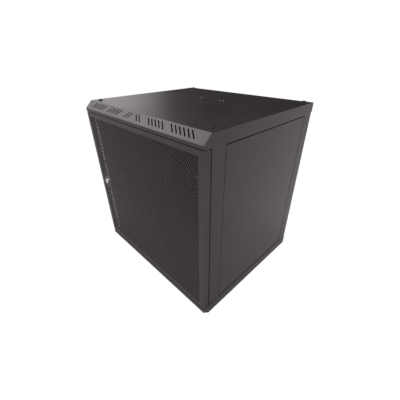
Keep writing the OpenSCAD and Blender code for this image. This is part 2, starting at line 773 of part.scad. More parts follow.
// Flanged plastic bush on the hinge line, with its flange on top of the sheet
module hinge_bush(z0) {
    color([0.1, 0.1, 0.1]) translate([hinge_x, hinge_y, z0]) difference() {
        union() {
            cylinder(h = sheet + 1.5, r = 4);
            translate([0, 0, sheet]) cylinder(h = 1.5, r = 5.4);
        }
        translate([0, 0, -1]) cylinder(h = 6, r = pin_r + running_gap);
    }
}

module hinge_bush_top() {
    hinge_bush(notch_z);
}

module hinge_bush_bottom() {
    hinge_bush(base_height - sheet);
}

// Rubber pads that the door closes against
module door_buffers() {
    color([0.06, 0.06, 0.06])
        for (z = [door_z0 + 40, door_mid_z + 70, door_z1 - 40])
            rod_y(front_y + door_depth + 0.3, column_y, -side_x + 6, z, 4.5);
}

module earth_stud() {
    color([0.80, 0.70, 0.40])
        translate([-side_x + 28, back_y - sheet, 64]) rotate([90, 0, 0]) {
            translate([0, 0, -sheet - skin - 1]) cylinder(h = 24, r = 2.97);
            cylinder(h = 3, r = 5.5, $fn = 6);
        }
}

module earth_nuts() {
    color([0.85, 0.85, 0.85])
        translate([-side_x + 28, back_y - sheet - 3, 64]) rotate([90, 0, 0]) {
            translate([0, 0, 1.4]) hex_nut(10, 5, 3.02);
            difference() {
                cylinder(h = 1.3, r = 6);
                translate([0, 0, -1]) cylinder(h = 4, r = 3.1);
            }
        }
}

// ---------------------------------------------------------------- lock

barrel_head = 3.2;

module lock_barrel() {
    color([0.82, 0.82, 0.83]) difference() {
        union() {
            rod_y(front_y + 0.2, lock_tail_y - 1.5, lock_x, door_mid_z, 9.3);
            rod_y(front_y - barrel_head + 1, mesh_y, lock_x, door_mid_z, 11);
            translate([lock_x, front_y - barrel_head + 1, door_mid_z]) rotate([90, 0, 0])
                cylinder(h = 1, r1 = 11, r2 = 9.8);
        }
        rod_y(front_y - 10, lock_tail_y, lock_x, door_mid_z, 6.05);
    }
}

module lock_nut() {
    color([0.66, 0.70, 0.50]) translate([lock_x, mesh_y + 2.5, door_mid_z]) rotate([-90, 0, 0])
        hex_nut(24, 5, 9.35);
}

module lock_plug() {
    color([0.86, 0.86, 0.87]) difference() {
        union() {
            rod_y(front_y - barrel_head + 0.3, lock_tail_y - 0.3, lock_x, door_mid_z, 6);
            block([lock_x - 3.9, lock_tail_y - 1, door_mid_z - 3.9],
                  [lock_x + 3.9, lock_tail_y + 2.2, door_mid_z + 3.9]);
        }
        block([lock_x - 0.8, front_y - barrel_head - 1, door_mid_z - 4],
              [lock_x + 0.8, front_y + 12, door_mid_z + 4]);
    }
}

// Locking arm, drawn unlocked, pointing up
module lock_cam() {
    color([0.66, 0.70, 0.50]) translate([lock_x, lock_tail_y + 0.1, door_mid_z]) rotate([-90, 0, 0])
        linear_extrude(2) difference() {
            union() {
                circle(r = 8);
                translate([-7, -36]) square([14, 36]);
            }
            square([8, 8], center = true);
        }
}

module cam_screw() {
    color([0.72, 0.72, 0.70]) difference() {
        union() {
            rod_y(lock_tail_y + 2.2, lock_tail_y + 3.4, lock_x, door_mid_z, 6.5);
            rod_y(lock_tail_y + 3.4, lock_tail_y + 5.6, lock_x, door_mid_z, 4.2);
        }
        for (turn = [0, 90])
            translate([lock_x, lock_tail_y + 5.4, door_mid_z]) rotate([0, turn, 0])
                cube([5, 2, 1], center = true);
    }
}

// ---------------------------------------------------------------- all nodes

module rail_colour() {
    color([0.28, 0.27, 0.28]) children();
}

side_frame(-1);  // side_frame_left
side_frame(1);  // side_frame_right
roof_cover();
base_tray();
rear_panel();
roof_stiffener();
roof_screws();
roof_bolts();
roof_plugs();
base_entry_cover();
base_entry_screws();
rear_entry_cover();
rear_entry_screws();
rear_entry_trim();
rear_panel_screws();
depth_rail(-1, depth_rail_high);  // depth_rail_left_top
depth_rail(-1, depth_rail_low);  // depth_rail_left_bottom
depth_rail(1, depth_rail_high);  // depth_rail_right_top
depth_rail(1, depth_rail_low);  // depth_rail_right_bottom
depth_rail_screws();
earth_stud();
earth_nuts();
hinge_bush_top();
hinge_bush_bottom();
door_buffers();
side_panel(-1);  // side_panel_left
side_panel(1);  // side_panel_right
panel_hooks(-1);  // panel_hooks_left
panel_hooks(1);  // panel_hooks_right
door_stile(-1);  // door_stile_left
door_stile(1);  // door_stile_right
door_cross_rail(true);  // door_rail_top
door_cross_rail(false);  // door_rail_bottom
door_mesh();
lock_plate();
hinge_bracket_top();
hinge_bracket_bottom();
hinge_screws();
hinge_pin_bottom();
hinge_pin_top();
hinge_spring();
lock_barrel();
lock_nut();
lock_plug();
lock_cam();
cam_screw();
rail_colour() at_rail(-1, true) mounting_rail();  // rail_front_left
rail_colour() at_rail(1, true) mounting_rail();  // rail_front_right
rail_colour() at_rail(-1, false) mounting_rail();  // rail_rear_left
rail_colour() at_rail(1, false) mounting_rail();  // rail_rear_right
rail_colour() at_rail(-1, true) rail_bolts();  // rail_bolts_front_left
rail_colour() at_rail(1, true) rail_bolts();  // rail_bolts_front_right
rail_colour() at_rail(-1, false) rail_bolts();  // rail_bolts_rear_left
rail_colour() at_rail(1, false) rail_bolts();  // rail_bolts_rear_right
cage_nuts(-1);  // cage_nuts_left
cage_nuts(1);  // cage_nuts_right
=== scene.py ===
"""Wall-mount network cabinet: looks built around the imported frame. Metres, +Z up, the door faces -Y."""
import json
import math

import bmesh
import bpy
from mathutils import Matrix, Vector
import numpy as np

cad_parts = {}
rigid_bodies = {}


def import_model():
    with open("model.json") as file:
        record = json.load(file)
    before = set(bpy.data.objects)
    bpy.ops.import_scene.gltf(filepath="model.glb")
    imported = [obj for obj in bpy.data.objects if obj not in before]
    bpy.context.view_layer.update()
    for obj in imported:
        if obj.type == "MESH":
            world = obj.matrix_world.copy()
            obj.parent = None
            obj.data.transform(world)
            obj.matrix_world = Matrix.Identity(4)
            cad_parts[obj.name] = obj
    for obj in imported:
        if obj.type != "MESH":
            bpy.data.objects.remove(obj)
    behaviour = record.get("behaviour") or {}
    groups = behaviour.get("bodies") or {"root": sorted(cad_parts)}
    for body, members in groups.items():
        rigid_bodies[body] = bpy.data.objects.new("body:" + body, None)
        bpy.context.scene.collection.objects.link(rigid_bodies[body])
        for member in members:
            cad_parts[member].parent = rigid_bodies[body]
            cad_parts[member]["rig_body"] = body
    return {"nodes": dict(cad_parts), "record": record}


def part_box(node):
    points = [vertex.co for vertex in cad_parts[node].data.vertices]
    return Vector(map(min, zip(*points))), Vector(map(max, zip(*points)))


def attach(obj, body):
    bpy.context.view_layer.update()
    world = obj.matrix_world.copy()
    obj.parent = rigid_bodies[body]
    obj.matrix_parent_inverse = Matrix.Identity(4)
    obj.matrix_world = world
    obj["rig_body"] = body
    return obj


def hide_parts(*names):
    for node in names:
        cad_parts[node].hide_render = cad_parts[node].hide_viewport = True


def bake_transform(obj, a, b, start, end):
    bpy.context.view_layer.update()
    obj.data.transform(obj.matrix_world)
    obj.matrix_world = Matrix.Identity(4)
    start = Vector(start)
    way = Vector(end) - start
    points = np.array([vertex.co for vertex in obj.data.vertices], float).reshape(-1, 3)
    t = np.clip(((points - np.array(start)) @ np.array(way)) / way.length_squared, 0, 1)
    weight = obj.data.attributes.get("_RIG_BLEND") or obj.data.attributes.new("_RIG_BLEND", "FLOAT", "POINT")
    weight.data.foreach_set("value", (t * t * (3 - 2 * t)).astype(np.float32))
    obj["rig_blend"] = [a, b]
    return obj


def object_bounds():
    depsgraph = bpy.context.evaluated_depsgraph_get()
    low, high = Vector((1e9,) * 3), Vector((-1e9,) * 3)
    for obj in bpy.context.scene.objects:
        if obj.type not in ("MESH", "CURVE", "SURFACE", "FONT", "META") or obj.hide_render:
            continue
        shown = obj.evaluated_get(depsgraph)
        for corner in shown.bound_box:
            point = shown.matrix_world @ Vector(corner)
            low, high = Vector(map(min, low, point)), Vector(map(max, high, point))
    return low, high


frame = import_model()
cad_bounds = [list(corner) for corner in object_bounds()]
nodes = frame["nodes"]

MM = 0.001


# ---------------------------------------------------------------- materials


class Nodes:
    """A node tree with short calls for the nodes used here."""

    def __init__(self, owner, output):
        owner.use_nodes = True
        self.tree = owner.node_tree
        self.tree.nodes.clear()
        self.surface = self.new(output).inputs["Surface"]

    def new(self, kind):
        return self.tree.nodes.new(kind)

    def feed(self, socket, value):
        """Gives a socket a number, a colour or another node's output."""
        if isinstance(value, (int, float)):
            socket.default_value = value
        elif isinstance(value, (tuple, list)):
            socket.default_value = (*value, 1.0)
        else:
            self.tree.links.new(value, socket)

    def ramp(self, value, low, high, out_low, out_high, kind="LINEAR"):
        made = self.new("ShaderNodeMapRange")
        made.interpolation_type = kind
        for key, number in zip(("From Min", "From Max", "To Min", "To Max"), (low, high, out_low, out_high)):
            made.inputs[key].default_value = number
        self.feed(made.inputs["Value"], value)
        return made.outputs["Result"]

    def math(self, kind, *values):
        made = self.new("ShaderNodeMath")
        made.operation = kind
        for socket, value in zip(made.inputs, values):
            self.feed(socket, value)
        return made.outputs[0]

    def light(self, kind, colour, strength):
        """A world's background or a surface's glow."""
        made = self.new(kind)
        self.feed(made.inputs["Color"], colour)
        self.feed(made.inputs["Strength"], strength)
        return made.outputs[0]

    def seen_apart(self, shed, seen):
        """One shader is what the camera sees, the other is the light shed on the object."""
        choose = self.new("ShaderNodeMixShader")
        self.feed(choose.inputs[0], self.new("ShaderNodeLightPath").outputs["Is Camera Ray"])
        self.feed(choose.inputs[1], shed)
        self.feed(choose.inputs[2], seen)
        self.feed(self.surface, choose.outputs[0])


class Finish(Nodes):
    """A material's nodes around one principled shader."""

    def __init__(self, name):
        self.material = bpy.data.materials.new(name)
        super().__init__(self.material, "ShaderNodeOutputMaterial")
        self.shader = self.new("ShaderNodeBsdfPrincipled")
        self.feed(self.surface, self.shader.outputs["BSDF"])
        self.place = self.new("ShaderNodeTexCoord").outputs["Object"]

    def noise(self, scale, detail=2.0, roughness=0.5, stretch=None):
        made = self.new("ShaderNodeTexNoise")
        made.inputs["Scale"].default_value = scale
        made.inputs["Detail"].default_value = detail
        made.inputs["Roughness"].default_value = roughness
        source = self.place
        if stretch:
            mapping = self.new("ShaderNodeMapping")
            mapping.inputs["Scale"].default_value = stretch
            self.feed(mapping.inputs["Vector"], source)
            source = mapping.outputs["Vector"]
        self.feed(made.inputs["Vector"], source)
        return made.outputs["Fac"]

    def mix(self, share, *colours):
        made = self.new("ShaderNodeMix")
        made.data_type = "RGBA"
        self.feed(made.inputs["Factor"], share)
        for socket, colour in zip([s for s in made.inputs if s.type == "RGBA"], colours):
            self.feed(socket, colour)
        return [s for s in made.outputs if s.type == "RGBA"][0]

    def bump(self, height, strength, distance, normal=None):
        made = self.new("ShaderNodeBump")
        made.inputs["Strength"].default_value = strength
        made.inputs["Distance"].default_value = distance
        self.feed(made.inputs["Height"], height)
        if normal is not None:
            self.feed(made.inputs["Normal"], normal)
        return made.outputs["Normal"]

    def set(self, **values):
        for key, value in values.items():
            self.feed(self.shader.inputs[key.replace("_", " ").title().replace("Ior", "IOR")], value)


def powder_coat(name, colour, roughness=0.30, peel=1.0, specular=0.5):
    """Baked powder coat: fine orange peel, a slight mottle, light specks and lighter bends, partly worn
    paint and partly a painted highlight.
    """
    g = Finish(name)
    peel_height = g.noise(420.0, 2.0, 0.55)
    grain = g.noise(2600.0, 1.0, 0.5)
    broad = g.noise(7.0, 3.0, 0.55)
    lighter = tuple(min(1.0, c * 1.06 + 0.001) for c in colour)
    darker = tuple(c * 0.95 for c in colour)
    mottled = g.mix(g.ramp(broad, 0.35, 0.65, 0.0, 1.0), darker, lighter)
    speck = g.ramp(grain, 0.60, 0.74, 0.0, 0.35)
    coloured = g.mix(speck, mottled, tuple(min(1.0, c * 1.9 + 0.01) for c in colour))
    # The bevelled bends are painted lighter: partly worn paint, partly a painted highlight along the folds
    bend = g.new("ShaderNodeAttribute")
    bend.attribute_name = "wear_and_highlight"
    worn_and_highlit = g.math("MULTIPLY", bend.outputs["Fac"], g.ramp(g.noise(45.0, 4.0, 0.6), 0.48, 0.72, 0.0, 0.3))
    g.set(base_color=g.mix(worn_and_highlit, coloured, (0.16, 0.155, 0.15)))
    g.set(roughness=g.math("ADD", g.ramp(broad, 0.3, 0.7, roughness - 0.012, roughness + 0.012),
                           g.ramp(grain, 0.3, 0.7, -0.03, 0.03)))
    g.set(specular_ior_level=specular)
    rough = g.bump(grain, 0.10 * peel, 0.0002)
    g.set(normal=g.bump(peel_height, 0.16 * peel, 0.0006, rough))
    return g.material


def plated(name, colour, roughness=0.3, scratch=0.5, tint=None):
    """Plated metal: fine upright scratches, a cloudy tint and slightly uneven gloss."""
    g = Finish(name)
    cloud = g.noise(90.0, 3.0, 0.6)
    lines = g.noise(900.0, 2.0, 0.6, stretch=(1.0, 1.0, 0.08))
    other = tint or tuple(c * 0.86 for c in colour)
    g.set(base_color=g.mix(g.ramp(cloud, 0.35, 0.68, 0.0, 1.0), colour, other))
    g.set(metallic=1.0)
    g.set(roughness=g.math("ADD", g.ramp(cloud, 0.3, 0.7, roughness - 0.05, roughness + 0.08),
                           g.ramp(lines, 0.3, 0.7, -0.04, 0.06)))
    g.set(normal=g.bump(lines, 0.08 * scratch, 0.0002))
    return g.material


def moulded(name, colour, roughness, specular=0.4, grain_size=1500.0, depth=0.12):
    """Moulded plastic or rubber: fine mould grain, with a slight drift in colour and gloss."""
    g = Finish(name)
    drift = g.noise(60.0, 3.0, 0.6)
    grain = g.noise(grain_size, 2.0, 0.6)
    paler = tuple(min(1.0, c * 1.3 + 0.006) for c in colour)
    g.set(base_color=g.mix(g.ramp(drift, 0.4, 0.7, 0.0, 0.8), colour, paler))
    g.set(roughness=g.ramp(drift, 0.3, 0.7, roughness - 0.06, roughness + 0.08))
    g.set(specular_ior_level=specular)
    g.set(normal=g.bump(grain, depth, 0.0003))
    return g.material


looks = {
    "powder_coat": powder_coat("coat_charcoal", (0.0325, 0.0275, 0.0315)),
    "mesh_coat": powder_coat("mesh_coat_charcoal", (0.028, 0.0235, 0.0275), 0.33, 0.6),
    "zinc_steel": plated("zinc_plate", (0.62, 0.63, 0.64), 0.32, 0.8),
    "yellow_zinc": plated("yellow_zinc_plate", (0.56, 0.55, 0.36), 0.34, 0.8, (0.48, 0.52, 0.40)),
    "chrome": plated("chrome_plate", (0.78, 0.78, 0.79), 0.16, 0.3),
    "black_screw": powder_coat("black_screw_finish", (0.022, 0.022, 0.023), 0.34, 0.3, 0.6),
    "black_plastic": moulded("black_plastic_cap", (0.012, 0.012, 0.012), 0.42),
    "black_rubber": moulded("black_rubber_trim", (0.016, 0.016, 0.016), 0.72, 0.25, 900.0, 0.2),
}
slot_of = {part["node"]: part["material_slot"] for part in frame["record"]["subparts"]}
body_of = {name: node["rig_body"] for name, node in nodes.items()}

for name, node in nodes.items():
    node.data.materials.clear()
    node.data.materials.append(looks[slot_of[name]])


# ---------------------------------------------------------------- shaping helpers


def as_mesh(bm, name):
    """The bmesh as a mesh; the bmesh is used up."""
    mesh = bpy.data.meshes.new(name)
    bm.to_mesh(mesh)
    bm.free()
    return mesh


def new_piece(name, bm, material_slot, body, *stands_for):
    """A finished mesh from bm, riding a body in place of CAD nodes."""
    piece = bpy.data.objects.new(name, as_mesh(bm, name))
    bpy.context.scene.collection.objects.link(piece)
    piece.data.materials.append(looks[material_slot])
    if body:
        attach(piece, body)
    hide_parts(*stands_for)
    return piece


def smoothed(bm, sharp_angle=38):
    """Smooth shading that keeps the corners above an angle."""
    bm.normal_update()
    for face in bm.faces:
        face.smooth = True
    for edge in bm.edges:
        edge.smooth = len(edge.link_faces) == 2 and edge.calc_face_angle(0.0) < math.radians(sharp_angle)


def weigh_normals(piece):
    """Keeps flat faces flat and rounds only the bends between them."""
    modifier = piece.modifiers.new("weigh", "WEIGHTED_NORMAL")
    modifier.keep_sharp = True
    modifier.weight = 80


def width_of(face):
    """A face's area over its longest edge."""
    return face.calc_area() / max(max(edge.calc_length() for edge in face.edges), 1e-9)


def fans_of(vert):
    """The vertex's corners, grouped where smooth edges join their faces."""
    group_of = {loop.face: [loop] for loop in vert.link_loops}
    for edge in vert.link_edges:
        if not edge.smooth or len(edge.link_faces) != 2:
            continue
        first, second = (group_of[face] for face in edge.link_faces)
        if first is not second:
            first.extend(second)
            for loop in second:
                group_of[loop.face] = first
    return {id(group): group for group in group_of.values()}.values()


def settle_normals(piece, flat_width=1.6 * MM):
    """Sheet metal's normals: flats keep their own, and a bend's narrow strips turn from one to the other."""
    bm = bmesh.new()
    bm.from_mesh(piece.data)
    place = {}
    for face in bm.faces:
        for loop in face.loops:
            place[loop] = len(place)
    width = {face: width_of(face) for face in bm.faces}
    settled = [Vector((0, 0, 1))] * len(place)
    for vert in bm.verts:
        for fan in fans_of(vert):
            total = Vector()
            for loop in fan:
                total += loop.face.normal * (width[loop.face] + 1e-6) ** 3
            for loop in fan:
                flat = width[loop.face] > flat_width or total.length < 1e-20
                settled[place[loop]] = loop.face.normal.copy() if flat else total.normalized()
    bm.free()
    for edge in piece.data.edges:
        edge.use_edge_sharp = True
    piece.data.normals_split_custom_set(settled)


def standing_for(node_name, bm, sharp_angle=38, finish=weigh_normals):
    """A finished piece that takes a CAD node's place, body and slot."""
    smoothed(bm, sharp_angle)
    finish(new_piece(node_name + "_detail", bm, slot_of[node_name], body_of[node_name], node_name))


def welded(node_name):
    """The CAD node's mesh with its split corners welded."""
    bm = bmesh.new()
    bm.from_mesh(nodes[node_name].data)
    bmesh.ops.remove_doubles(bm, verts=bm.verts, dist=2e-6)
    return bm


def flat_merged(bm):
    """Faces in one plane become one face; every face can be marked for lighter bend paint, partly worn paint
    and partly a painted highlight.
    """
    bm.faces.layers.float.new("wear_and_highlight")
    bmesh.ops.dissolve_limit(bm, angle_limit=math.radians(0.4), verts=bm.verts, edges=bm.edges,
                             use_dissolve_boundaries=False)
    bm.normal_update()
    return bm


def combined(bm, other, operation):
    """bm after a boolean with other; both are used up."""
    objects = []
    for part in (bm, other):
        made = bpy.data.objects.new("boolean_part", as_mesh(part, "boolean_part"))
        bpy.context.scene.collection.objects.link(made)
        objects.append(made)
    cut = objects[0].modifiers.new("cut", "BOOLEAN")
    cut.object = objects[1]
    cut.operation = operation
    cut.solver = "EXACT"
    graph = bpy.context.evaluated_depsgraph_get()
    result = bmesh.new()
    result.from_mesh(objects[0].evaluated_get(graph).to_mesh())
    for made in objects:
        bpy.data.objects.remove(made)
    bmesh.ops.remove_doubles(result, verts=result.verts, dist=1e-6)
    return result


def bridge(bm, low, high):
    """Faces between two rings; a ring of one point is a tip."""
    steps = max(len(low), len(high))
    for k in range(steps):
        n = (k + 1) % steps
        if len(low) == 1:
            bm.faces.new((low[0], high[n], high[k]))
        elif len(high) == 1:
            bm.faces.new((low[k], low[n], high[0]))
        else:
            bm.faces.new((low[k], low[n], high[n], high[k]))


def turned(bm, place, profile, steps=32, closed=False):
    """Spins (radius, height) points about place's Z axis. A radius may be a function of the angle."""
    rings = []
    for radius, height in profile:
        if radius == 0:
            rings.append([bm.verts.new(place @ Vector((0.0, 0.0, height)))])
            continue
        ring = []
        for k in range(steps):
            angle = 2 * math.pi * k / steps
            reach = radius(angle) if callable(radius) else radius
            point = Vector((reach * math.cos(angle), reach * math.sin(angle), height))
            ring.append(bm.verts.new(place @ point))
        rings.append(ring)
    for low, high in zip(rings, rings[1:]):
        bridge(bm, low, high)
    if closed:
        bridge(bm, rings[-1], rings[0])
    return bm


def tube(bm, path, radius, steps=10, loop=False):
    """A round wire or bar along a path of points."""
    count = len(path)
    normal = None
    rings = []
    for i, point in enumerate(path):
        after = path[(i + 1) % count] if loop or i + 1 < count else point
        before = path[i - 1] if loop or i > 0 else point
        along = (after - before).normalized()
        if normal is None:
            normal = along.orthogonal().normalized()
        normal = (normal - along * normal.dot(along)).normalized()
        across = along.cross(normal)
        rings.append([bm.verts.new(point + radius * (math.cos(a) * normal + math.sin(a) * across))
                      for a in (2 * math.pi * k / steps for k in range(steps))])
    for low, high in zip(rings, rings[1:]):
        bridge(bm, low, high)
    if loop:
        bridge(bm, rings[-1], rings[0])
    else:
        bm.faces.new(list(reversed(rings[0])))
        bm.faces.new(rings[-1])
    return bm


def add_box(bm, low, high, ease=0.0):
    """A box between two corners, with its edges eased."""
    made = bmesh.ops.create_cube(bm, size=1.0)
    size = Vector(high) - Vector(low)
    centre = (Vector(high) + Vector(low)) / 2
    for v in made["verts"]:
        v.co = Vector((v.co.x * size.x, v.co.y * size.y, v.co.z * size.z)) + centre
    if ease:
        edges = {e for v in made["verts"] for e in v.link_edges}
        bmesh.ops.bevel(bm, geom=list(edges), offset=ease, offset_type="OFFSET", segments=2, profile=0.5,
                        affect="EDGES", clamp_overlap=True)
    return bm


def stamp(bm, template, place):
    """A copy of a template mesh into bm."""
    copy = template.copy()
    copy.transform(place)
    bm.from_mesh(copy)
    bpy.data.meshes.remove(copy)


def solids_of(node_name):
    """Lowest and highest corners of each separate solid of a CAD node."""
    bm = welded(node_name)
    unseen = set(bm.verts)
    boxes = []
    while unseen:
        stack = [unseen.pop()]
        found = list(stack)
        while stack:
            for edge in stack.pop().link_edges:
                for v in edge.verts:
                    if v in unseen:
                        unseen.remove(v)
                        stack.append(v)
                        found.append(v)
        boxes.append((Vector([min(v.co[i] for v in found) for i in range(3)]),
                      Vector([max(v.co[i] for v in found) for i in range(3)])))
    bm.free()
    return sorted(boxes, key=lambda box: tuple(round(c, 5) for c in box[0]))


def facing(axis, point):
    """A placement at a point with its Z along an axis, never mirrored."""
    axis = Vector(axis).normalized()
    aside = Vector((0, 0, 1)) if abs(axis.z) < 0.5 else Vector((1, 0, 0))
    x = aside.cross(axis).normalized()
    y = axis.cross(x)
    return Matrix.Translation(Vector(point)) @ Matrix((x, y, axis)).transposed().to_4x4()


def face_reach(face, edge):
    """How far the face goes on from the edge at its narrowest place, such as a thin arm of a wide face."""
    start, end = (v.co for v in edge.verts)
    along = (end - start).normalized()
    inward = face.normal.cross(along)
    for loop in face.loops:
        if loop.edge == edge and loop.vert == edge.verts[1]:
            inward.negate()
    narrowest = math.inf
    for share in (0.03, 0.12, 0.3, 0.5, 0.7, 0.88, 0.97):
        at = start.lerp(end, share)
        for other in face.edges:
            if other == edge:
                continue
            c, d = ((v.co - at) for v in other.verts)
            c_along, d_along = c.dot(along), d.dot(along)
            if c_along * d_along > 0 or abs(c_along - d_along) < 1e-7:
                continue
            mix = c_along / (c_along - d_along)
            depth = c.dot(inward) * (1 - mix) + d.dot(inward) * mix
            if 1e-5 < depth < narrowest:
                narrowest = depth
    return narrowest


def bevelled(bm, edges, offset, segments):
    """Rounds edges; the new faces are marked for lighter paint, partly worn paint and partly a painted
    highlight.
    """
    if not edges:
        return
    made = bmesh.ops.bevel(bm, geom=edges, offset=offset, offset_type="OFFSET", segments=segments,
                           profile=0.5, affect="EDGES", clamp_overlap=False, loop_slide=True)
    wear_and_highlight = bm.faces.layers.float["wear_and_highlight"]
    for face in made["faces"]:
        face[wear_and_highlight] = 1.0


def folds(bm, shortest, least, most):
    """Long edges that stick out and turn by an angle in a range."""
    return [e for e in bm.edges if e.is_valid and len(e.link_faces) == 2 and e.is_convex
            and e.calc_length() >= shortest and least <= e.calc_face_angle(0.0) < most]


SQUARE, BLUNT = math.radians(65), math.radians(25)
CUT_WIDTH = 3.2 * MM


def bent_round(bm, bend, shortest=6 * MM, segments=4):
    """Rounds the outer side of a sheet's folds, blunt ones half as much, but not its cut edges."""
    wide = [e for e in folds(bm, shortest, BLUNT, math.pi)
            if min(face_reach(face, e) for face in e.link_faces) >= CUT_WIDTH]
    square = [e for e in wide if e.calc_face_angle(0.0) > SQUARE]
    has_blunt = len(wide) > len(square)
    bevelled(bm, square, bend, segments)
    if has_blunt:
        bevelled(bm, folds(bm, 3 * shortest, BLUNT, SQUARE), bend * 0.5, segments)


def rounded(node_name, bend):
    """The CAD node with its folds bent round, as its own piece."""
    bm = flat_merged(welded(node_name))
    bent_round(bm, bend)
    smoothed(bm)
    settle_normals(new_piece(node_name + "_sheet", bm, slot_of[node_name], body_of[node_name], node_name))


# ---------------------------------------------------------------- perforated door sheet

mesh_low, mesh_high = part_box("door_mesh")
plate_low, plate_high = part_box("lock_plate")
PITCH = 7.5 * MM
HOLE_R = 2.75 * MM
ROW_STEP = PITCH * math.sqrt(3) / 2
HEXAGON = [math.radians(90 + 60 * k) for k in range(6)]
DODECAGON = [math.radians(90 + 30 * k) for k in range(12)]


class PunchedSheet:
    """One part of the door's sheet: staggered round holes, and shared points between neighbouring cells."""

    def __init__(self):
        self.bm = bmesh.new()
        self.points = {}

    def point(self, x, y, z):
        key = (round(x * 1e6), round(y * 1e6), round(z * 1e6))
        if key not in self.points:
            self.points[key] = self.bm.verts.new((x, y, z))
        return self.points[key]

    def circle(self, x, y, z, radius, angles):
        return [self.point(x + radius * math.cos(a), y, z + radius * math.sin(a)) for a in angles]

    def cell(self, x, z, punched):
        """One six-sided cell of the sheet, with its hole or plain."""
        outer = PITCH / math.sqrt(3)
        front = self.circle(x, mesh_low.y, z, outer, HEXAGON)
        back = self.circle(x, mesh_high.y, z, outer, HEXAGON)
        if not punched:
            self.bm.faces.new(front)
            self.bm.faces.new(list(reversed(back)))
            return
        front_rim = self.circle(x, mesh_low.y, z, HOLE_R, DODECAGON)
        back_rim = self.circle(x, mesh_high.y, z, HOLE_R, DODECAGON)
        for k in range(6):
            a, b = k, (k + 1) % 6
            i, j, n = 2 * k, 2 * k + 1, (2 * k + 2) % 12
            self.bm.faces.new((front[a], front[b], front_rim[n], front_rim[j], front_rim[i]))
            self.bm.faces.new((back_rim[i], back_rim[j], back_rim[n], back[b], back[a]))
        for k in range(12):
            n = (k + 1) % 12
            self.bm.faces.new((front_rim[k], front_rim[n], back_rim[n], back_rim[k]))


def row_z(row):
    return (mesh_low.z + mesh_high.z) / 2 + row * ROW_STEP


def backed(x, z):
    """Where the lock's plate closes the sheet from behind."""
    return plate_low.x - 1 * MM < x < plate_high.x and plate_low.z < z < plate_high.z


def punched_door(split_row):
    """The door's sheet in a lower and an upper piece, with a plain margin round the holes."""
    rows = int((mesh_high.z - mesh_low.z) / 2 / ROW_STEP - 0.6)
    half = int((mesh_high.x - 4.5 * MM) / PITCH)
    margin = 5.2 * MM
    for name, first, last in (("door_perforation_lower", -rows, split_row - 1),
                              ("door_perforation_upper", split_row, rows)):
        sheet = PunchedSheet()
        for row in range(first, last + 1):
            shift = 0.5 if row % 2 else 0.0
            for column in range(-half - row % 2, half + 1):
                x = (column + shift) * PITCH
                in_margin = abs(x) > half * PITCH + 1 * MM
                sheet.cell(x, row_z(row), not in_margin and not backed(x, row_z(row)))
        bottom = mesh_low.z if first == -rows else row_z(first - 0.5)
        top = mesh_high.z if last == rows else row_z(last + 0.5)
        y0, y1 = mesh_low.y + 0.05 * MM, mesh_high.y + 0.1 * MM
        add_box(sheet.bm, (mesh_low.x, y0, bottom), (mesh_low.x + margin, y1, top))
        add_box(sheet.bm, (mesh_high.x - margin, y0, bottom), (mesh_high.x, y1, top))
        edge_z = bottom if first == -rows else top - margin
        add_box(sheet.bm, (mesh_low.x + margin, y0, edge_z), (mesh_high.x - margin, y1, edge_z + margin))
        new_piece(name, sheet.bm, "mesh_coat", "door", "door_mesh")


punched_door(0)

# ---------------------------------------------------------------- folded sheet metal

# Outer bend radius and the parts that have it
FOLDED = {
    1.0 * MM: ("lock_plate",),
    1.2 * MM: ("rear_panel", "base_entry_cover", "rear_entry_cover"),
    1.5 * MM: ("side_panel_left", "side_panel_right"),
    1.8 * MM: ("side_frame_left", "side_frame_right", "base_tray", "roof_stiffener", "depth_rail_left_top",
               "depth_rail_left_bottom", "depth_rail_right_top", "depth_rail_right_bottom"),
    2.2 * MM: ("rail_front_left", "rail_front_right", "rail_rear_left", "rail_rear_right"),
    2.4 * MM: ("roof_cover",),
}
FRAME_BEND = 1.1 * MM
for bend, node_names in FOLDED.items():
    for node_name in node_names:
        rounded(node_name, bend)


def door_frame_sheet():
    """The door's two uprights and two cross rails as the one welded frame they make."""
    names = ["door_stile_left", "door_stile_right", "door_rail_top", "door_rail_bottom"]
    whole = welded(names[0])
    for name in names[1:]:
        whole = combined(whole, welded(name), "UNION")
    bm = flat_merged(whole)
    bent_round(bm, FRAME_BEND)
    smoothed(bm)
    settle_normals(new_piece("door_frame_sheet", bm, "powder_coat", "door", *names))


door_frame_sheet()

# ---------------------------------------------------------------- fasteners


def thread(radius, low, high, pitch, depth=0.12):
    """Profile points of a thread's ridges between two heights."""
    points = []
    for turn in range(int((high - low) / pitch)):
        z = low + turn * pitch
        points += [(radius * (1 - depth), z + 0.15 * pitch), (radius, z + 0.5 * pitch),
                   (radius, z + 0.65 * pitch)]
    return points


def cross_recess(bm, reach, half_width, floor, top):
    """bm with a cross cut into its head, from the floor of the cut up."""
    for turn in (0, 1):
        blade = add_box(bmesh.new(), (-reach, -half_width, floor), (reach, half_width, top))
        blade.transform(Matrix.Rotation(turn * math.pi / 2, 4, "Z"))
        bm = combined(bm, blade, "DIFFERENCE")
    return bm


def pan_screw(shank, length, head, height, pitch):
    """A pan-head screw: threaded shank below its head's seat at zero, domed head with a cross recess."""
    bm = bmesh.new()
    profile = [(0, -length), (shank * 0.72, -length), (shank * 0.86, -length + 0.5 * MM)]
    profile += thread(shank, -length + 0.6 * MM, -0.7 * MM, pitch)
    profile += [(shank * 0.9, -0.2 * MM), (shank * 0.9, 0.0), (head * 0.96, 0.0), (head, height * 0.08),
                (head, height * 0.42), (head * 0.95, height * 0.66), (head * 0.82, height * 0.84),
                (head * 0.60, height * 0.95), (head * 0.30, height), (0, height)]
    turned(bm, Matrix.Identity(4), profile, 28)
    return as_mesh(cross_recess(bm, head * 0.52, head * 0.1, height * 0.35, height * 1.6), "pan_screw")


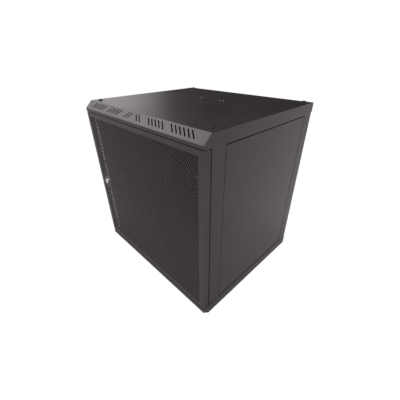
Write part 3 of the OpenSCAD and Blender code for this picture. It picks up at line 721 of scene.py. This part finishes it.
def hex_nut(flats, thickness, shank, pitch):
    """A hexagon nut from zero to its thickness, with chamfered corners and a threaded bore."""
    chamfer = flats / 2 * 0.97

    def edge_at(height_in):
        def reach(angle):
            from_flat = (angle + math.pi / 6) % (math.pi / 3) - math.pi / 6
            return min(flats / 2 / math.cos(from_flat), chamfer + height_in * 1.9)
        return reach

    levels = [0.0, 0.12 * MM, 0.3 * MM, 0.6 * MM]
    bore = shank * 1.03
    profile = [(bore * 1.08, 0.0)] + [(edge_at(h), h) for h in levels]
    profile += [(edge_at(h), thickness - h) for h in reversed(levels)]
    profile += [(bore * 1.08, thickness)]
    profile += list(reversed(thread(bore, 0.3 * MM, thickness - 0.2 * MM, pitch, 0.08)))
    return as_mesh(turned(bmesh.new(), Matrix.Identity(4), profile, 48, closed=True), "hex_nut")


def across(axis, low, high):
    """The two extents of a box square to an axis."""
    return [high[i] - low[i] for i in range(3) if abs(axis[i]) < 0.5]


def upward(low, high):
    return (0, 0, 1)


def backward(low, high):
    return (0, 1, 0)


def inward(low, high):
    return (-1, 0, 0) if low.x > 0 else (1, 0, 0)


def fasteners(node_name, shank, axis_of, head_height, pitch):
    """Screws and nuts at the CAD node's solids: the long solids are screws, the short ones their nuts."""
    bm = bmesh.new()
    templates = {}
    for low, high in solids_of(node_name):
        axis = Vector(axis_of(low, high))
        centre = (low + high) / 2
        span = max(abs(axis[i]) * (high[i] - low[i]) for i in range(3))
        width = min(across(axis, low, high))
        kind = (round(span * 1e5), round(width * 1e5))
        is_screw = span > 1.1 * width
        if kind not in templates and is_screw:
            templates[kind] = pan_screw(shank, span - head_height, width / 2, head_height, pitch)
        elif kind not in templates:
            templates[kind] = hex_nut(width, span, shank, pitch)
        seat = span / 2 - head_height if is_screw else -span / 2
        stamp(bm, templates[kind], facing(axis, centre + axis * seat))
    standing_for(node_name, bm, sharp_angle=32)


# Shank radius, the way the head faces, head height and pitch
M4, M5, M6 = 1.97 * MM, 2.47 * MM, 2.97 * MM
SCREWS = {
    "roof_screws": (M4, upward, 2.2 * MM, 0.7 * MM),
    "roof_bolts": (M6, upward, 2.6 * MM, 1.0 * MM),
    "base_entry_screws": (M4, upward, 2.2 * MM, 0.7 * MM),
    "rear_panel_screws": (M5, backward, 2.2 * MM, 0.8 * MM),
    "rear_entry_screws": (M4, backward, 1.8 * MM, 0.7 * MM),
    "depth_rail_screws": (M6, inward, 3.4 * MM, 1.0 * MM),
    "rail_bolts_front_left": (M6, inward, 3.4 * MM, 1.0 * MM),
    "rail_bolts_front_right": (M6, inward, 3.4 * MM, 1.0 * MM),
    "rail_bolts_rear_left": (M6, inward, 3.4 * MM, 1.0 * MM),
    "rail_bolts_rear_right": (M6, inward, 3.4 * MM, 1.0 * MM),
}
for node_name, sizes in SCREWS.items():
    fasteners(node_name, *sizes)
# The roof's screws lie in the open, so their plating has dulled
dull_zinc = plated("dull_zinc_plate", (0.22, 0.22, 0.225), 0.55, 0.8)
bpy.data.objects["roof_screws_detail"].data.materials[0] = dull_zinc


def countersunk_screws():
    """The hinge brackets' screws: flat heads with a cross recess, level with the door's side."""
    node = "hinge_screws"
    solids = solids_of(node)
    low, high = solids[0]
    span, head = high.x - low.x, (high.y - low.y) / 2
    shank = 2.0 * MM
    bm = bmesh.new()
    profile = [(0, -span), (shank * 0.8, -span)] + thread(shank, -span + 0.3 * MM, -2.3 * MM, 0.7 * MM)
    profile += [(shank * 0.9, -2.0 * MM), (head * 0.97, -0.25 * MM), (head, -0.1 * MM), (head * 0.98, 0.0),
                (0, 0.0)]
    turned(bm, Matrix.Identity(4), profile, 32)
    mesh = as_mesh(cross_recess(bm, head * 0.58, head * 0.12, -1.2 * MM, 1 * MM), "countersunk")
    whole = bmesh.new()
    for low, high in solids:
        stamp(whole, mesh, facing((1, 0, 0), (high.x, (low.y + high.y) / 2, (low.z + high.z) / 2)))
    standing_for(node, whole, sharp_angle=32)


countersunk_screws()


def roof_caps():
    """Moulded caps on the roof's corner bolts: a rounded shoulder, a shallow dish and a seat line."""
    bm = bmesh.new()
    for low, high in solids_of("roof_plugs"):
        r, h = (high.x - low.x) / 2, high.z - low.z
        place = Matrix.Translation(((low.x + high.x) / 2, (low.y + high.y) / 2, low.z))
        profile = [(r * 0.74, h * 0.72), (r * 0.74, 0.0), (r * 0.97, 0.0), (r, h * 0.06), (r, h * 0.14),
                   (r * 0.96, h * 0.17), (r * 0.96, h * 0.2), (r * 0.99, h * 0.24), (r * 0.985, h * 0.62),
                   (r * 0.94, h * 0.82), (r * 0.86, h * 0.94), (r * 0.76, h), (r * 0.62, h),
                   (r * 0.5, h * 0.95), (r * 0.3, h * 0.91), (0, h * 0.9)]
        turned(bm, place, profile, 40)
        turned(bm, place, [(r * 0.74, h * 0.72), (0, h * 0.72)], 40)
    bmesh.ops.remove_doubles(bm, verts=bm.verts, dist=1e-6)
    bmesh.ops.recalc_face_normals(bm, faces=bm.faces)
    standing_for("roof_plugs", bm, sharp_angle=50)


roof_caps()


def buffers():
    """Rubber pads behind the door's latch side, with rounded rims."""
    bm = bmesh.new()
    for low, high in solids_of("door_buffers"):
        r, h = (high.x - low.x) / 2, high.y - low.y
        profile = [(0, 0), (r * 0.94, 0), (r, h * 0.08), (r, h * 0.5), (r * 0.93, h * 0.8),
                   (r * 0.8, h * 0.95), (r * 0.6, h), (0, h)]
        centre = Vector(((low.x + high.x) / 2, high.y, (low.z + high.z) / 2))
        turned(bm, facing((0, -1, 0), centre), profile, 28)
    standing_for("door_buffers", bm, sharp_angle=50)


buffers()

# ---------------------------------------------------------------- cage nuts


def cage_nut_template(width, depth, tall):
    """A square nut in a bent spring cage, looking along +Y from the square hole's face."""
    rail = 1.8 * MM
    sheet = 0.6 * MM
    grip = 4.55 * MM
    ease = 0.12 * MM
    side = width / 2 - 1.0 * MM
    y0, y1 = rail + 0.35 * MM, depth - 0.9 * MM
    nut = add_box(bmesh.new(), (-side, y0, -side), (side, y1, side), 0.35 * MM)
    bore = turned(bmesh.new(), facing((0, 1, 0), (0, y0 - 1 * MM, 0)),
                  [(0, 0), (2.5 * MM, 0)] + thread(2.65 * MM, 0.6 * MM, y1 - y0 + 1.2 * MM, 1.0 * MM)
                  + [(2.5 * MM, y1 - y0 + 2 * MM), (0, y1 - y0 + 2 * MM)], 24)
    bm = combined(nut, bore, "DIFFERENCE")
    for s in (-1, 1):
        x0, x1 = sorted((s * (width / 2), s * (width / 2 - sheet)))
        add_box(bm, (x0, rail, -width * 0.4), (x1, depth - 0.2 * MM, width * 0.4), ease)
        x0, x1 = sorted((s * grip, s * (grip - sheet)))
        add_box(bm, (x0, 0.2 * MM, -4.0 * MM), (x1, 2.4 * MM, 4.0 * MM), ease)
        x0, x1 = sorted((s * (grip - sheet), s * width / 2))
        add_box(bm, (x0, rail, -width * 0.35), (x1, rail + sheet, width * 0.35), ease)
        z0, z1 = sorted((s * tall / 2, s * (tall / 2 - 2.2 * MM)))
        for x in (-grip, grip - 0.9 * MM):
            add_box(bm, (x, rail, z0), (x + 0.9 * MM, rail + sheet, z1), ease)
    plate = add_box(bmesh.new(), (-width / 2, depth - sheet, -width * 0.4),
                    (width / 2, depth, width * 0.4), ease)
    hole = turned(bmesh.new(), facing((0, 1, 0), (0, depth - 2 * MM, 0)),
                  [(0, 0), (3.4 * MM, 0), (3.4 * MM, 4 * MM), (0, 4 * MM)], 24)
    stamp(bm, as_mesh(combined(plate, hole, "DIFFERENCE"), "cage_part"), Matrix.Identity(4))
    return as_mesh(bm, "cage_nut")


cage_template = None
for cage_node in ("cage_nuts_left", "cage_nuts_right"):
    whole = bmesh.new()
    for low, high in solids_of(cage_node):
        depth = high.y - low.y + 0.2 * MM
        if cage_template is None:
            cage_template = cage_nut_template(high.x - low.x, depth, high.z - low.z)
        centre = (low + high) / 2
        stamp(whole, cage_template, Matrix.Translation((centre.x, low.y - 0.2 * MM, centre.z)))
    standing_for(cage_node, whole, sharp_angle=30)

# ---------------------------------------------------------------- lock

barrel_low, barrel_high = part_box("lock_barrel")
lock_x = (barrel_low.x + barrel_high.x) / 2
lock_z = (barrel_low.z + barrel_high.z) / 2
sheet_face = mesh_low.y


def toward_back(y):
    """A placement on the lock's line with Z running into the cabinet."""
    return facing((0, 1, 0), (lock_x, y, lock_z))


def lock_body():
    """The lock's housing: a rolled front bezel and a threaded barrel with two flats."""
    rim = (barrel_high.x - barrel_low.x) / 2
    neck = 9.3 * MM
    half_flats = 8.4 * MM
    bore = 6.05 * MM
    length = barrel_high.y - barrel_low.y
    seat = sheet_face - barrel_low.y

    def flatted(radius):
        return lambda angle: min(radius, half_flats / max(abs(math.sin(angle)), 1e-6))

    profile = [(bore, 0.9 * MM), (bore + 0.3 * MM, 0.35 * MM), (rim * 0.74, 0.1 * MM), (rim * 0.84, 0.0),
               (rim * 0.93, 0.18 * MM), (rim * 0.98, 0.6 * MM), (rim, 1.2 * MM), (rim, seat - 0.2 * MM),
               (rim * 0.985, seat), (flatted(neck * 0.93), seat)]
    profile += [(flatted(r), h) for r, h in thread(neck, seat + 0.3 * MM, length - 0.8 * MM, 1.0 * MM, 0.07)]
    profile += [(flatted(neck * 0.93), length - 0.4 * MM), (neck * 0.86, length), (bore, length)]
    bm = turned(bmesh.new(), toward_back(barrel_low.y), profile, 64, closed=True)
    standing_for("lock_barrel", bm, sharp_angle=35)


def lock_plug():
    """The turning plug: a domed face with a keyway and its chamfer, and a square tail."""
    low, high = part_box("lock_plug")
    r = 6.0 * MM
    length = high.y - low.y
    tail = 3.2 * MM
    profile = [(0, 0.0), (r * 0.7, 0.05 * MM), (r * 0.92, 0.25 * MM), (r * 0.985, 0.6 * MM),
               (r * 0.985, length - tail), (0, length - tail)]
    bm = turned(bmesh.new(), toward_back(low.y), profile, 48)
    for width, tall, deep in ((0.8, 4.0, 14.0), (1.3, 4.4, 0.35)):
        slot = add_box(bmesh.new(), (lock_x - width * MM, low.y - 2 * MM, lock_z - tall * MM),
                       (lock_x + width * MM, low.y + deep * MM, lock_z + tall * MM))
        bm = combined(bm, slot, "DIFFERENCE")
    ward = add_box(bmesh.new(), (lock_x - 0.9 * MM, low.y + 0.5 * MM, lock_z + 0.6 * MM),
                   (lock_x - 0.2 * MM, low.y + 13 * MM, lock_z + 1.4 * MM))
    bm = combined(bm, ward, "UNION")
    half = 3.85 * MM
    add_box(bm, (lock_x - half, high.y - tail - 0.2 * MM, lock_z - half),
            (lock_x + half, high.y, lock_z + half), 0.4 * MM)
    standing_for("lock_plug", bm, sharp_angle=35)


def lock_hardware():
    """The lock's nut, its stamped arm with eased edges, and the screw that holds the arm."""
    low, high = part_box("lock_nut")
    thick = high.y - low.y
    bm = bmesh.new()
    flats = min(high.x - low.x, high.z - low.z)
    shank = 9.05 * MM
    stamp(bm, hex_nut(flats, thick, shank, 1.0 * MM), toward_back(low.y))
    standing_for("lock_nut", bm, sharp_angle=32)

    bm = flat_merged(welded("lock_cam"))
    rims = [e for e in bm.edges if len(e.link_faces) == 2 and e.is_convex
            and math.radians(60) < e.calc_face_angle(0.0)
            and max(abs(f.normal.y) for f in e.link_faces) > 0.9]
    bevelled(bm, rims, 0.3 * MM, 2)
    standing_for("lock_cam", bm, finish=settle_normals)

    low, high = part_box("cam_screw")
    r = (high.x - low.x) / 2
    deep = high.y - low.y
    profile = [(0, 0), (r * 0.97, 0), (r, 0.15 * MM), (r, 0.9 * MM), (r * 0.95, 1.15 * MM),
               (r * 0.65, 1.2 * MM), (r * 0.645, 1.35 * MM), (r * 0.64, deep * 0.7), (r * 0.56, deep * 0.9),
               (r * 0.42, deep), (0, deep)]
    bm = turned(bmesh.new(), toward_back(low.y), profile, 36)
    for wide, tall in ((2.3, 0.5), (0.5, 2.3)):
        blade = add_box(bmesh.new(), (lock_x - wide * MM, high.y - 1.0 * MM, lock_z - tall * MM),
                        (lock_x + wide * MM, high.y + 1 * MM, lock_z + tall * MM))
        bm = combined(bm, blade, "DIFFERENCE")
    standing_for("cam_screw", bm, sharp_angle=35)


lock_body()
lock_plug()
lock_hardware()

# ---------------------------------------------------------------- hinges


def hinge_parts():
    """Brackets with round bends, the fixed lower pin, the sprung upper pin with its grip, and the bushes."""
    for node_name in ("hinge_bracket_top", "hinge_bracket_bottom"):
        bm = flat_merged(welded(node_name))
        bent_round(bm, 0.8 * MM, shortest=5 * MM)
        standing_for(node_name, bm, finish=settle_normals)

    low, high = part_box("hinge_pin_bottom")
    x, y = (low.x + high.x) / 2, (low.y + high.y) / 2
    length = high.z - low.z
    r = 3.0 * MM
    seat = 8.6 * MM
    door_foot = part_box("door_rail_bottom")[0].z - low.z
    profile = [(0, 0), (r * 0.5, 0), (r * 0.85, 0.5 * MM), (r, 1.4 * MM), (r, seat), (4.7 * MM, seat),
               (5.0 * MM, seat + 0.25 * MM), (5.0 * MM, door_foot - 0.3 * MM), (4.7 * MM, door_foot),
               (r, door_foot), (r, door_foot + 5 * MM), (4.3 * MM, door_foot + 5 * MM),
               (4.6 * MM, door_foot + 5.2 * MM), (4.6 * MM, door_foot + 6.8 * MM),
               (4.3 * MM, door_foot + 7 * MM), (r, door_foot + 7 * MM), (r, length - 0.8 * MM),
               (r * 0.8, length), (0, length)]
    standing_for("hinge_pin_bottom", turned(bmesh.new(), Matrix.Translation((x, y, low.z)), profile, 28))

    low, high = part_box("hinge_pin_top")
    spring_low, spring_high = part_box("hinge_spring")
    x, y = (spring_low.x + spring_high.x) / 2, (spring_low.y + spring_high.y) / 2
    foot = low.z + r
    bend = 5 * MM
    bm = bmesh.new()
    path = [Vector((low.x, y, foot)), Vector((x - bend * 2, y, foot))]
    for k in range(9):
        a = math.pi / 2 * k / 8
        path.append(Vector((x - bend + bend * math.sin(a), y, foot + bend - bend * math.cos(a))))
    path += [Vector((x, y, high.z - 2.2 * MM)), Vector((x, y, high.z - 1.5 * MM))]
    tube(bm, path, r * 0.97, 20)
    tip = [(r * 0.97, 0), (r * 0.93, 0.4 * MM), (r * 0.7, 1.3 * MM), (r * 0.55, 1.5 * MM), (0, 1.5 * MM)]
    turned(bm, Matrix.Translation((x, y, high.z - 1.5 * MM)), tip, 20)
    collar = [(r, 0), (4.5 * MM, 0), (4.8 * MM, 0.3 * MM), (4.8 * MM, 1.7 * MM), (4.5 * MM, 2 * MM),
              (r, 2 * MM)]
    turned(bm, Matrix.Translation((x, y, spring_high.z)), collar, 28, closed=True)
    grip = facing((1, 0, 0), (low.x, y, foot))
    turned(bm, grip, [(0, -0.1 * MM), (r * 0.8, -0.05 * MM), (r * 0.97, 0.6 * MM), (r * 0.9, 1.0 * MM)], 20)
    standing_for("hinge_pin_top", bm, sharp_angle=40)

    for node_name in ("hinge_bush_top", "hinge_bush_bottom"):
        low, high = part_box(node_name)
        rim, h = (high.x - low.x) / 2, high.z - low.z
        x, y = (low.x + high.x) / 2, (low.y + high.y) / 2
        bore = r + 0.06 * MM
        step = h - 1.5 * MM
        profile = [(bore, 0.3 * MM), (bore + 0.3 * MM, 0), (3.7 * MM, 0), (4.0 * MM, 0.3 * MM),
                   (4.0 * MM, step), (rim * 0.97, step), (rim, step + 0.2 * MM), (rim, h - 0.5 * MM),
                   (rim * 0.93, h), (bore + 0.4 * MM, h), (bore, h - 0.4 * MM)]
        bush = turned(bmesh.new(), Matrix.Translation((x, y, low.z)), profile, 36, closed=True)
        standing_for(node_name, bush)


def release_spring():
    """Round-wire spring between the bracket's ear and the pin's collar, its coils closer at the ends."""
    low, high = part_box("hinge_spring")
    x, y = (low.x + high.x) / 2, (low.y + high.y) / 2
    wire = 0.45 * MM
    reach = (high.x - low.x) / 2 - wire
    turns, per_turn = 9, 28
    rise_low, rise_high = low.z + wire, high.z - wire
    path = []
    for i in range(turns * per_turn + 1):
        part = i / (turns * per_turn)
        eased = part - 0.055 * math.sin(2 * math.pi * part)
        a = 2 * math.pi * i / per_turn
        path.append(Vector((x + reach * math.cos(a), y + reach * math.sin(a),
                            rise_low + (rise_high - rise_low) * eased)))
    bm = tube(bmesh.new(), path, wire, 8)
    smoothed(bm, 60)
    piece = new_piece("hinge_spring_wire", bm, slot_of["hinge_spring"], None, "hinge_spring")
    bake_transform(piece, "door", "hinge_release_pin", start=(x, y, low.z), end=(x, y, high.z))


hinge_parts()
release_spring()

# ---------------------------------------------------------------- earthing point and rear trim


def earth_point():
    """The earthing stud with its hexagon root and thread, and its nut on a toothed washer."""
    low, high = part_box("earth_stud")
    x, z = (low.x + high.x) / 2, (low.z + high.z) / 2
    nut_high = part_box("earth_nuts")[1]
    r = M6
    length = high.y - low.y
    place = facing((0, -1, 0), (x, high.y, z))
    root_flats, root_height = 9.52 * MM, 3 * MM
    root = high.y - (nut_high.y + root_height)
    profile = [(0, 0), (r * 0.8, 0), (r, 0.5 * MM), (r, root)]
    profile += thread(r, root + 3.2 * MM, length - 1 * MM, 1.0 * MM)
    profile += [(r * 0.85, length - 0.5 * MM), (r * 0.7, length), (0, length)]
    bm = turned(bmesh.new(), place, profile, 28)
    hexagon = hex_nut(root_flats, root_height, r, 1.0 * MM)
    stamp(bm, hexagon, facing((0, -1, 0), (x, high.y - root, z)))
    standing_for("earth_stud", bm, sharp_angle=32)

    bm = bmesh.new()
    for low, high in solids_of("earth_nuts"):
        thick = high.y - low.y
        place = facing((0, -1, 0), (x, high.y, z))
        is_nut = thick > 3 * MM
        if is_nut:
            stamp(bm, hex_nut(min(high.x - low.x, high.z - low.z), thick, r, 1.0 * MM), place)
            continue
        rim = (high.x - low.x) / 2

        def toothed(angle):
            return rim if int(angle / (2 * math.pi) * 48) % 2 else rim * 0.9

        washer = [(3.1 * MM, 0.3 * MM), (toothed, 0.1 * MM), (toothed, thick - 0.1 * MM),
                  (3.1 * MM, thick - 0.3 * MM)]
        turned(bm, place, washer, 96, closed=True)
    standing_for("earth_nuts", bm, sharp_angle=32)


def rubber_trim():
    """Pushed-on rubber edging: one rounded section carried round the rear cable opening."""
    low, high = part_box("rear_entry_trim")
    wide = 7.0 * MM
    deep = high.y - low.y
    corner = 5.5 * MM
    x0, x1 = low.x + wide / 2, high.x - wide / 2
    z0, z1 = low.z + wide / 2, high.z - wide / 2
    path = []
    for cx, cz, start in ((x1 - corner, z1 - corner, 0), (x0 + corner, z1 - corner, 90),
                          (x0 + corner, z0 + corner, 180), (x1 - corner, z0 + corner, 270)):
        for k in range(9):
            a = math.radians(start + 90 * k / 8)
            path.append((cx, cz, math.cos(a), math.sin(a)))
    round_off = 2.1 * MM
    section = []
    for cu, cv, start in ((wide / 2 - round_off, deep / 2 - round_off, 0),
                          (-wide / 2 + round_off, deep / 2 - round_off, 90),
                          (-wide / 2 + round_off, -deep / 2 + round_off, 180),
                          (wide / 2 - round_off, -deep / 2 + round_off, 270)):
        for k in range(5):
            a = math.radians(start + 90 * k / 4)
            section.append((cu + round_off * math.cos(a), cv + round_off * math.sin(a)))
    y = (low.y + high.y) / 2
    bm = bmesh.new()
    rings = []
    for cx, cz, nx, nz in path:
        rings.append([bm.verts.new((cx + nx * (corner + u), y + v, cz + nz * (corner + u)))
                      for u, v in section])
    for a, b in zip(rings, rings[1:] + rings[:1]):
        bridge(bm, a, b)
    bmesh.ops.recalc_face_normals(bm, faces=bm.faces)
    standing_for("rear_entry_trim", bm, sharp_angle=50)


earth_point()
rubber_trim()


def welded_hooks(node_name):
    """The side panel's hooks with eased edges."""
    bm = flat_merged(welded(node_name))
    rims = [e for e in bm.edges if len(e.link_faces) == 2 and e.is_convex
            and e.calc_face_angle(0.0) > math.radians(60)]
    bevelled(bm, rims, 0.3 * MM, 2)
    standing_for(node_name, bm, finish=settle_normals)


welded_hooks("panel_hooks_left")
welded_hooks("panel_hooks_right")

# ---------------------------------------------------------------- studio, floor, camera

# Soft lamps, all far away: degrees round from the cabinet's left towards its back, degrees up, the half
# angle that is fully bright, the half angle where the light has faded out, and the radiance
LAMPS = {
    "left_softbox": (-20, 24, 4, 20, 1.9),
    "left_softbox_top": (-20, 45, 4, 20, 2.4),
    "left_edge_low": (20, 8, 4, 14, 0.42),
    "left_edge": (28, 9, 3, 11, 0.7),
    "left_edge_high": (28, 24, 4, 20, 0.19),
    "right_fill": (-150, 25, 6, 28, 3.8),
    "overhead_front": (-100, 60, 6, 28, 9.2),
}
# The floor's glow, then how far from the base and how far back it grows, each with its gain; the dimmer glow
# beside the base is a painted contact shadow and the brighter glow at the back is painted light
FLOOR_GLOW = 0.3
OPEN_FLOOR = (0.25, 0.15)
REAR_FLOOR = (0.7, 0.19)
LAMP_TINT = (1.04, 1.0, 0.985)
FLOOR_TINT = (1.05, 0.985, 1.02)
SEEN_WHITE = 1.0


def studio_world():
    """Soft lamps as round patches of light far away, and white where the camera looks past the object."""
    world = bpy.data.worlds.new("studio")
    bpy.context.scene.world = world
    g = Nodes(world, "ShaderNodeOutputWorld")
    direction = g.new("ShaderNodeTexCoord").outputs["Generated"]
    total = 0.0
    for turned_by, height, inner, outer, radiance in LAMPS.values():
        around, up = math.radians(turned_by), math.radians(height)
        near = g.new("ShaderNodeVectorMath")
        near.operation = "DOT_PRODUCT"
        near.inputs[1].default_value = (-math.cos(around) * math.cos(up), math.sin(around) * math.cos(up),
                                        math.sin(up))
        g.feed(near.inputs[0], direction)
        edges = (math.cos(math.radians(angle)) for angle in (outer, inner))
        lit = g.ramp(near.outputs["Value"], *edges, 0.0, radiance, "SMOOTHSTEP")
        total = g.math("ADD", lit, total)
    g.seen_apart(g.light("ShaderNodeBackground", LAMP_TINT, total),
                 g.light("ShaderNodeBackground", (1.0, 1.0, 1.0), SEEN_WHITE))


def pale_floor():
    """A wide pale floor, white where it is seen; it lights the object softly, less beside the base as a
    painted contact shadow and more towards the back as painted light.
    """
    mesh = bpy.data.meshes.new("floor")
    reach = 30.0
    below = -0.0005
    corners = [(x * reach, y * reach, below) for x, y in ((-1, -1), (1, -1), (1, 1), (-1, 1))]
    mesh.from_pydata(corners, [], [(0, 1, 2, 3)])
    floor = bpy.data.objects.new("floor", mesh)
    bpy.context.scene.collection.objects.link(floor)
    material = bpy.data.materials.new("floor_pale")
    g = Nodes(material, "ShaderNodeOutputMaterial")
    place = g.new("ShaderNodeSeparateXYZ")
    g.feed(place.inputs[0], g.new("ShaderNodeTexCoord").outputs["Object"])
    squares = []
    for axis in (0, 1):
        past = g.math("SUBTRACT", g.math("ABSOLUTE", place.outputs[axis]), cad_bounds[1][axis])
        squares.append(g.math("POWER", g.math("MAXIMUM", past, 0.0), 2.0))
    away = g.math("SQRT", g.math("ADD", *squares))
    # Painted contact shadow: the glow is dimmer beside the base and grows only further out
    clear = g.ramp(away, 0.0, OPEN_FLOOR[0], 0.0, OPEN_FLOOR[1], "SMOOTHSTEP")
    # Painted light: the glow grows brighter towards the back
    behind = g.ramp(place.outputs[1], -cad_bounds[1][1], REAR_FLOOR[0], 0.0, REAR_FLOOR[1], "SMOOTHSTEP")
    glow = g.math("ADD", g.math("ADD", clear, behind), FLOOR_GLOW)
    g.seen_apart(g.light("ShaderNodeEmission", FLOOR_TINT, glow),
                 g.light("ShaderNodeEmission", (1.0, 1.0, 1.0), SEEN_WHITE))
    material.cycles.emission_sampling = "NONE"
    mesh.materials.append(material)


def placed_camera():
    """The camera in front of the cabinet's right front corner, looking down at it, with a slight roll."""
    data = bpy.data.cameras.new("camera")
    camera = bpy.data.objects.new("camera", data)
    bpy.context.scene.collection.objects.link(camera)
    bpy.context.scene.camera = camera
    data.sensor_width = 36.0
    data.lens = 21.683
    data.shift_x = -0.0005
    data.shift_y = -0.0127
    data.clip_start = 0.01
    place = Vector((0.6411, -0.6127, 0.7635))
    azimuth, elevation, roll = math.radians(45.428), math.radians(30.503), math.radians(-0.329)
    back = Vector((math.sin(azimuth) * math.cos(elevation), -math.cos(azimuth) * math.cos(elevation),
                   math.sin(elevation)))
    level = Vector((math.cos(azimuth), math.sin(azimuth), 0.0))
    right = math.cos(roll) * level + math.sin(roll) * back.cross(level)
    turn = Matrix((right, back.cross(right), back)).transposed()
    camera.matrix_world = Matrix.Translation(place) @ turn.to_4x4()


studio_world()
pale_floor()
placed_camera()

scene = bpy.context.scene
# Unfiltered guides keep the perforation crisp at small picture sizes
scene.cycles.denoising_prefilter = "NONE"
scene.view_settings.view_transform = "Standard"
scene.view_settings.look = "None"
